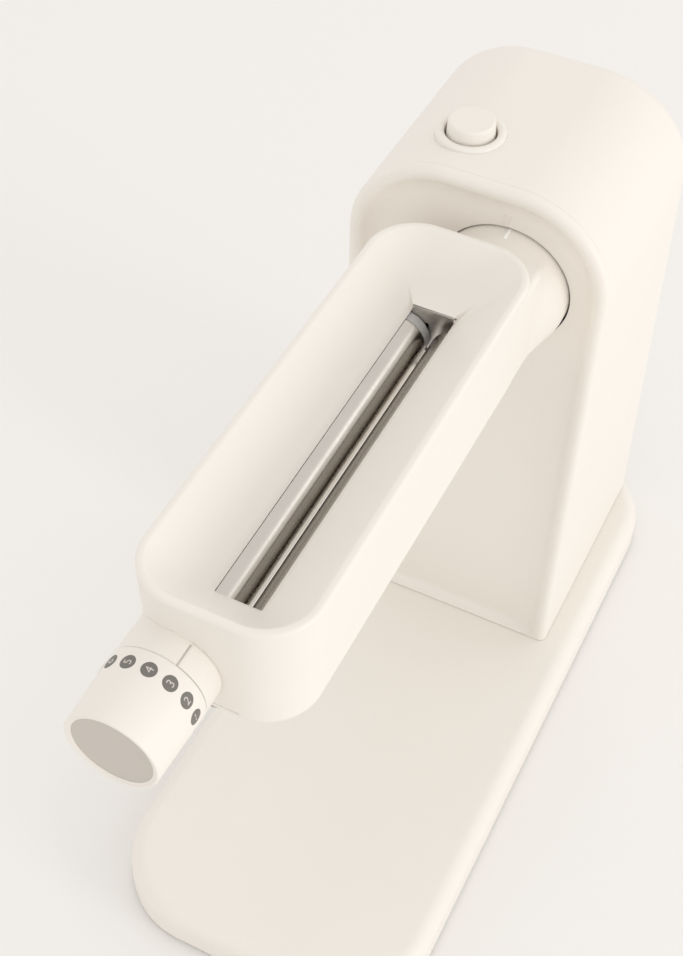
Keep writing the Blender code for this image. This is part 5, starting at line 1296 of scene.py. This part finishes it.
def roller_profile(barrel_far, journal_end):
    """Radii and depths of a chamfered barrel between its two journals."""
    radius = ROLLER_RADIUS
    soft = ROLLER_CHAMFER
    near = [(0.0, BARREL_NEAR - JOURNAL_LENGTH), (JOURNAL_RADIUS, BARREL_NEAR - JOURNAL_LENGTH),
            (JOURNAL_RADIUS, BARREL_NEAR), (radius - soft, BARREL_NEAR),
            (radius - soft / 3, BARREL_NEAR + soft / 3), (radius, BARREL_NEAR + soft),
            (radius, BARREL_NEAR + soft + HOLD)]
    far = [(radius, barrel_far - soft - HOLD), (radius, barrel_far - soft),
           (radius - soft / 3, barrel_far - soft / 3), (radius - soft, barrel_far),
           (JOURNAL_RADIUS, barrel_far), (JOURNAL_RADIUS, journal_end), (0.0, journal_end)]
    return near + far


def roller_barrel(name, x, barrel_far, journal_end, material):
    profile = roller_profile(barrel_far, journal_end)
    return piece_from(name, turned(profile, (x, AXIS_Z), upright=False, sides=FINE_SIDES), material)


drive_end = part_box("drive_roller")[1].y - FACE_Y
adjust_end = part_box("adjust_roller")[1].y - FACE_Y
drive_roller = roller_barrel("drive_roller_barrel", ROLLER_PITCH, BARREL_FAR, drive_end, PAINTED_SHADE_STEEL)
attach(drive_roller, "driven_roller")
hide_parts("drive_roller")
adjust_roller = roller_barrel("adjust_roller_barrel", -ROLLER_PITCH, ADJUST_BARREL_FAR, adjust_end,
                              GROUND_STEEL)
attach(adjust_roller, "adjusted_roller")
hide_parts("adjust_roller")


# Roller end ring and roller gears
# A light grey nylon ring spaces the adjusting roller from its plate. Behind the plate the two
# rollers are geared together by deep-toothed sintered steel wheels, and a coupling takes the drive.

RING_FRONT = -0.0413
RING_BACK = -0.0368
RING_RADIUS = 0.0102
RING_LIP = 0.0004
RING_BORE = 0.0043
LIGHT_NYLON = moulded_plastic("light_grey_nylon", (0.54, 0.53, 0.515), (0.49, 0.48, 0.465), 0.40)
end_ring = piece_from("roller_end_ring", turned([
    (RING_BORE, RING_FRONT), (RING_RADIUS - RING_LIP, RING_FRONT), (RING_RADIUS, RING_FRONT + RING_LIP),
    (RING_RADIUS, RING_BACK - RING_LIP), (RING_RADIUS - RING_LIP, RING_BACK), (RING_BORE, RING_BACK)],
    (-ROLLER_PITCH, AXIS_Z), upright=False, closed=True), LIGHT_NYLON)
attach(end_ring, "adjusted_roller")
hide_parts("adjust_roller_ring")
finish_cad(SHEET_STEEL, "drive_roller_gear", "adjust_roller_gear", "drive_coupling")


# Thickness knob
# A round cream sleeve, a touch wider at its back, that pulls out against a spring and turns to set
# the gap. Its front has a thin lip round a recessed disc, with a fine step inside the lip. The
# spring is a coil of round wire on the shaft.

KNOB_FRONT = -0.2433
KNOB_BACK = -0.2163
KNOB_FRONT_RADIUS = 0.0164
KNOB_BACK_RADIUS = 0.0171
KNOB_EDGE = 0.0005
KNOB_ROOM = 0.0149
KNOB_SHOULDER = 0.0143
KNOB_STEP = 0.0003
KNOB_BACK_LAND = 0.0015
DISC_FRONT = -0.2425
DISC_BACK = -0.2413
DISC_RADIUS = 0.0146
KNOB_FLOOR = 0.015
KNOB_FLOOR_THICKNESS = 0.0025
HUB_RADIUS = 0.0065
HUB_LENGTH = 0.003
KNOB_HOLE = 0.0033
KNOB_COIL_NEAR = -0.17962
KNOB_COIL_FAR = -0.17047
KNOB_COIL_TURNS = 3
floor_front = KNOB_FRONT + KNOB_FLOOR
floor_back = floor_front + KNOB_FLOOR_THICKNESS
knob_profile = [(KNOB_SHOULDER, DISC_FRONT), (KNOB_SHOULDER, DISC_FRONT - KNOB_STEP / 2),
                (KNOB_ROOM, DISC_FRONT - KNOB_STEP), (KNOB_ROOM + KNOB_STEP, KNOB_FRONT + KNOB_STEP / 2),
                (KNOB_ROOM + 2 * KNOB_STEP, KNOB_FRONT)]
knob_profile += arc(KNOB_FRONT_RADIUS - KNOB_EDGE, KNOB_FRONT + KNOB_EDGE, KNOB_EDGE, 270.0, 360.0, 5)
knob_profile += [
    (KNOB_BACK_RADIUS, KNOB_BACK - KNOB_STEP / 2),
    (KNOB_BACK_RADIUS - KNOB_STEP / 2, KNOB_BACK),
    (KNOB_BACK_RADIUS - KNOB_BACK_LAND, KNOB_BACK),
    (KNOB_ROOM, floor_back),
    (HUB_RADIUS, floor_back),
    (HUB_RADIUS, floor_back + HUB_LENGTH),
    (KNOB_HOLE, floor_back + HUB_LENGTH),
    (KNOB_HOLE, floor_front),
    (KNOB_ROOM, floor_front),
    (KNOB_ROOM, DISC_BACK),
    (DISC_RADIUS, DISC_BACK),
    (DISC_RADIUS, DISC_FRONT),
]
knob = piece_from("knob_sleeve", turned(knob_profile, (NECK_X, AXIS_Z), upright=False, closed=True,
                                        sides=FINE_SIDES), CREAM_ABS)
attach(knob, "knob")
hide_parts("thickness_knob")
knob_coil = [[(NECK_X + x, KNOB_COIL_NEAR + z, AXIS_Z - y) for x, y, z in ring]
             for ring in coil_rings(KNOB_COIL_FAR - KNOB_COIL_NEAR, KNOB_COIL_TURNS)]
knob_coil = piece_from("knob_return_spring", lofted(knob_coil), SPRING_STEEL, smooth_angle=60.0)
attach(knob_coil, "knob_shaft")
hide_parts("knob_spring")
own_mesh(knob_coil)


# Knob disc
# A separate disc in a slightly darker warm grey closes the knob's front, let in below the lip. Its
# face is very slightly dished and has the same etched grain.

DISC_DISH = 0.0002
DISC_PLASTIC = moulded_plastic("warm_grey_abs", (0.60, 0.555, 0.50), (0.57, 0.525, 0.47), 0.45)
disc = piece_from("knob_front_disc", turned([
    (0.0, DISC_FRONT + DISC_DISH), (DISC_RADIUS / 2, DISC_FRONT + DISC_DISH / 2),
    (DISC_RADIUS - KNOB_STEP, DISC_FRONT), (DISC_RADIUS, DISC_FRONT + KNOB_STEP),
    (DISC_RADIUS, DISC_BACK), (0.0, DISC_BACK)], (NECK_X, AXIS_Z), upright=False), DISC_PLASTIC)
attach(disc, "knob")
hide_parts("knob_disc")


# Setting dots
# Eight warm grey printed dots run round the knob near its back edge, one for each thickness. They
# lie on a slight cone, and one tree spaces them and bends them onto it.

DOT_COUNT = 8
DOT_RADIUS = 0.00262
DOT_DEPTH = -0.2220
DOT_THREE_ANGLE = 58.0
DOT_PITCH = 360.0 / 14
DOT_PROUD = 0.00003
DOT_SUNK = 0.00006
DOT_SIDES = 48
DOT_FILL_STEPS = 5
KNOB_CONE = (KNOB_BACK_RADIUS - KNOB_FRONT_RADIUS) / (KNOB_BACK - KNOB_FRONT)
DOT_INK = moulded_plastic("warm_grey_print", (0.195, 0.182, 0.165), (0.175, 0.163, 0.148), 0.50)


def dots_tree():
    tree, start, end = node_group(
        "dial_dots",
        [("Dot radius", FLOAT), ("First angle", FLOAT), ("Pitch", FLOAT), ("Dial radius", FLOAT),
         ("Cone", FLOAT), ("Proud", FLOAT), ("Sunk", FLOAT), ("Centre", VECTOR), ("Material", MATERIAL)],
        [("Dots", GEOMETRY)], "GeometryNodeTree")
    pad = node(tree, "GeometryNodeMeshCylinder", {"Vertices": DOT_SIDES, "Fill Segments": DOT_FILL_STEPS,
                                                  "Depth": 1.0, "Radius": start["Dot radius"]})
    step = maths(tree, "MULTIPLY", start["Pitch"], start["Dial radius"])
    row = node(tree, "GeometryNodeMeshLine", {"Count": DOT_COUNT,
                                              "Offset": vector_of(tree, step, 0.0, 0.0)})
    pads = repeated(tree, row.outputs["Mesh"], pad.outputs["Mesh"])
    real = node(tree, "GeometryNodeRealizeInstances", {0: pads}).outputs[0]
    x, y, z = point_parts(tree)
    outside = maths(tree, "GREATER_THAN", z, 0.0)
    thickness = maths(tree, "ADD", start["Proud"], start["Sunk"])
    lift = maths(tree, "SUBTRACT", maths(tree, "MULTIPLY", outside, thickness), start["Sunk"])
    radius = maths(tree, "ADD", maths(tree, "ADD", start["Dial radius"], lift),
                   maths(tree, "MULTIPLY", y, start["Cone"]))
    angle = maths(tree, "ADD", start["First angle"], maths(tree, "DIVIDE", x, start["Dial radius"]))
    bent = vector_of(tree, maths(tree, "MULTIPLY", radius, maths(tree, "COSINE", angle)), y,
                     maths(tree, "MULTIPLY", radius, maths(tree, "SINE", angle)))
    realized(tree, shifted(tree, placed(tree, real, bent), start["Centre"]), start["Material"], end)
    return tree


dial_radius = KNOB_BACK_RADIUS + KNOB_CONE * (DOT_DEPTH - KNOB_BACK)
first_angle = math.radians(DOT_THREE_ANGLE - 2 * DOT_PITCH)
dots = grown("setting_dots", dots_tree(), {
    "Dot radius": DOT_RADIUS, "First angle": first_angle, "Pitch": math.radians(DOT_PITCH),
    "Dial radius": dial_radius, "Cone": KNOB_CONE, "Proud": DOT_PROUD, "Sunk": DOT_SUNK,
    "Centre": (NECK_X, FACE_Y + DOT_DEPTH, AXIS_Z), "Material": DOT_INK})
builder = bmesh.new()
builder.from_mesh(dots.data)
bmesh.ops.recalc_face_normals(builder, faces=builder.faces)
builder.to_mesh(dots.data)
builder.free()
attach(dots, "knob")


# Setting numbers
# The figures 1 to 8 are left light in the printed dots. They read upright for a cook who stands at
# the machine's right side, and follow the knob's curve.

NUMBER_SIZE = 0.0040
NUMBER_LIFT = 0.00002
NUMBER_THICKNESS = 0.00003
NUMBER_WELD = 0.0000005
PALE_INK = moulded_plastic("pale_print", (0.66, 0.62, 0.57), (0.62, 0.58, 0.53), 0.50)


def number_builder(text, angle):
    """One figure as a thin closed body bent onto the knob at an angle."""
    letter = bpy.data.curves.new("figure_" + text, "FONT")
    letter.body = text
    letter.size = NUMBER_SIZE
    letter.align_x = "CENTER"
    letter.align_y = "CENTER"
    letter.extrude = NUMBER_THICKNESS
    holder = in_scene("figure_" + text, letter)
    flat = worked_out(holder)
    bpy.data.objects.remove(holder, do_unlink=True)
    figure = bmesh.new()
    figure.from_mesh(flat)
    bmesh.ops.remove_doubles(figure, verts=figure.verts, dist=NUMBER_WELD)
    xs = [vert.co.x for vert in figure.verts]
    ys = [vert.co.y for vert in figure.verts]
    middle_x = (min(xs) + max(xs)) / 2
    middle_y = (min(ys) + max(ys)) / 2
    for vert in figure.verts:
        along = vert.co.x - middle_x
        up = vert.co.y - middle_y
        radius = dial_radius + DOT_PROUD + NUMBER_LIFT + vert.co.z + KNOB_CONE * along
        spot = angle + up / dial_radius
        vert.co = (NECK_X + radius * math.cos(spot), FACE_Y + DOT_DEPTH + along,
                   AXIS_Z + radius * math.sin(spot))
    return figure


numbers = piece_from("setting_numbers", merged(*[
    number_builder(str(count + 1), first_angle + count * math.radians(DOT_PITCH))
    for count in range(DOT_COUNT)]), PALE_INK)
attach(numbers, "knob")


# Camera
# The photograph was taken from the machine's front right, well above it, with a short telephoto.

CAMERA_PLACE = (0.15496, -0.37917, 0.62404)
CAMERA_RIGHT = (0.89467, 0.44645, 0.01592)
CAMERA_UP = (-0.34238, 0.66236, 0.66638)
CAMERA_BACK = (0.28696, -0.60164, 0.74544)
CAMERA_LENS = 59.05
CAMERA_SENSOR = 36.0
CAMERA_NEAREST = 0.01
camera_data = bpy.data.cameras.new("photo_camera")
camera_data.lens = CAMERA_LENS
camera_data.sensor_width = CAMERA_SENSOR
camera_data.clip_start = CAMERA_NEAREST
camera = in_scene("photo_camera", camera_data)
camera.matrix_world = Matrix((*zip(CAMERA_RIGHT, CAMERA_UP, CAMERA_BACK, CAMERA_PLACE),
                              (0.0, 0.0, 0.0, 1.0)))
bpy.context.scene.camera = camera


# Studio
# A wide pale floor and an even bright room. One soft lamp stands at the machine's right, and a
# weaker one behind it on the same side, which draws the streak on the rollers.

FLOOR_SIZE = 12.0
FLOOR_COLOUR = (0.90, 0.885, 0.865, 1.0)
FLOOR_ROUGHNESS = 0.9
FLOOR_GLOSS = 0.1
ROOM_COLOUR = (1.0, 0.985, 0.965, 1.0)
ROOM_STRENGTH = 0.95
BACKDROP_COLOUR = (0.905, 0.885, 0.86, 1.0)
LAMPS = (
    ("side_lamp", (1.90, -0.22, 0.60), 0.6, 7.4),
    ("streak_lamp", (1.85, 1.74, 1.54), 0.8, 1.7),
)
LAMP_AIM = Vector((0.0, 0.0, 0.12))
floor_mesh = bpy.data.meshes.new("floor")
half = FLOOR_SIZE / 2
floor_mesh.from_pydata([(-half, -half, 0.0), (half, -half, 0.0), (half, half, 0.0), (-half, half, 0.0)],
                       [], [(0, 1, 2, 3)])
floor = in_scene("floor", floor_mesh)
floor_material = bpy.data.materials.new("pale_floor")
floor_material.use_nodes = True
floor_shader = floor_material.node_tree.nodes["Principled BSDF"].inputs
floor_shader["Base Color"].default_value = FLOOR_COLOUR
floor_shader["Roughness"].default_value = FLOOR_ROUGHNESS
floor_shader["Specular IOR Level"].default_value = FLOOR_GLOSS
floor_mesh.materials.append(floor_material)

world = bpy.data.worlds.new("bright_room")
bpy.context.scene.world = world
world.use_nodes = True
room = world.node_tree
background = room.nodes["Background"]
background.inputs["Color"].default_value = ROOM_COLOUR
background.inputs["Strength"].default_value = ROOM_STRENGTH
backdrop = node(room, "ShaderNodeBackground", {"Color": BACKDROP_COLOUR, "Strength": 1.0})
rays = room.nodes.new("ShaderNodeLightPath").outputs
seen = maths(room, "MAXIMUM", rays["Is Camera Ray"], rays["Is Glossy Ray"])
choice = node(room, "ShaderNodeMixShader", {0: seen, 1: background.outputs[0], 2: backdrop.outputs[0]})
room.links.new(choice.outputs[0], room.nodes["World Output"].inputs["Surface"])

for name, place, size, power in LAMPS:
    lamp_data = bpy.data.lights.new(name, "AREA")
    lamp_data.shape = "SQUARE"
    lamp_data.size = size
    lamp_data.energy = power
    lamp = in_scene(name, lamp_data)
    lamp.location = place
    lamp.rotation_mode = "QUATERNION"
    lamp.rotation_quaternion = (LAMP_AIM - Vector(place)).to_track_quat("-Z", "Y")

bpy.context.scene.view_settings.view_transform = "Standard"
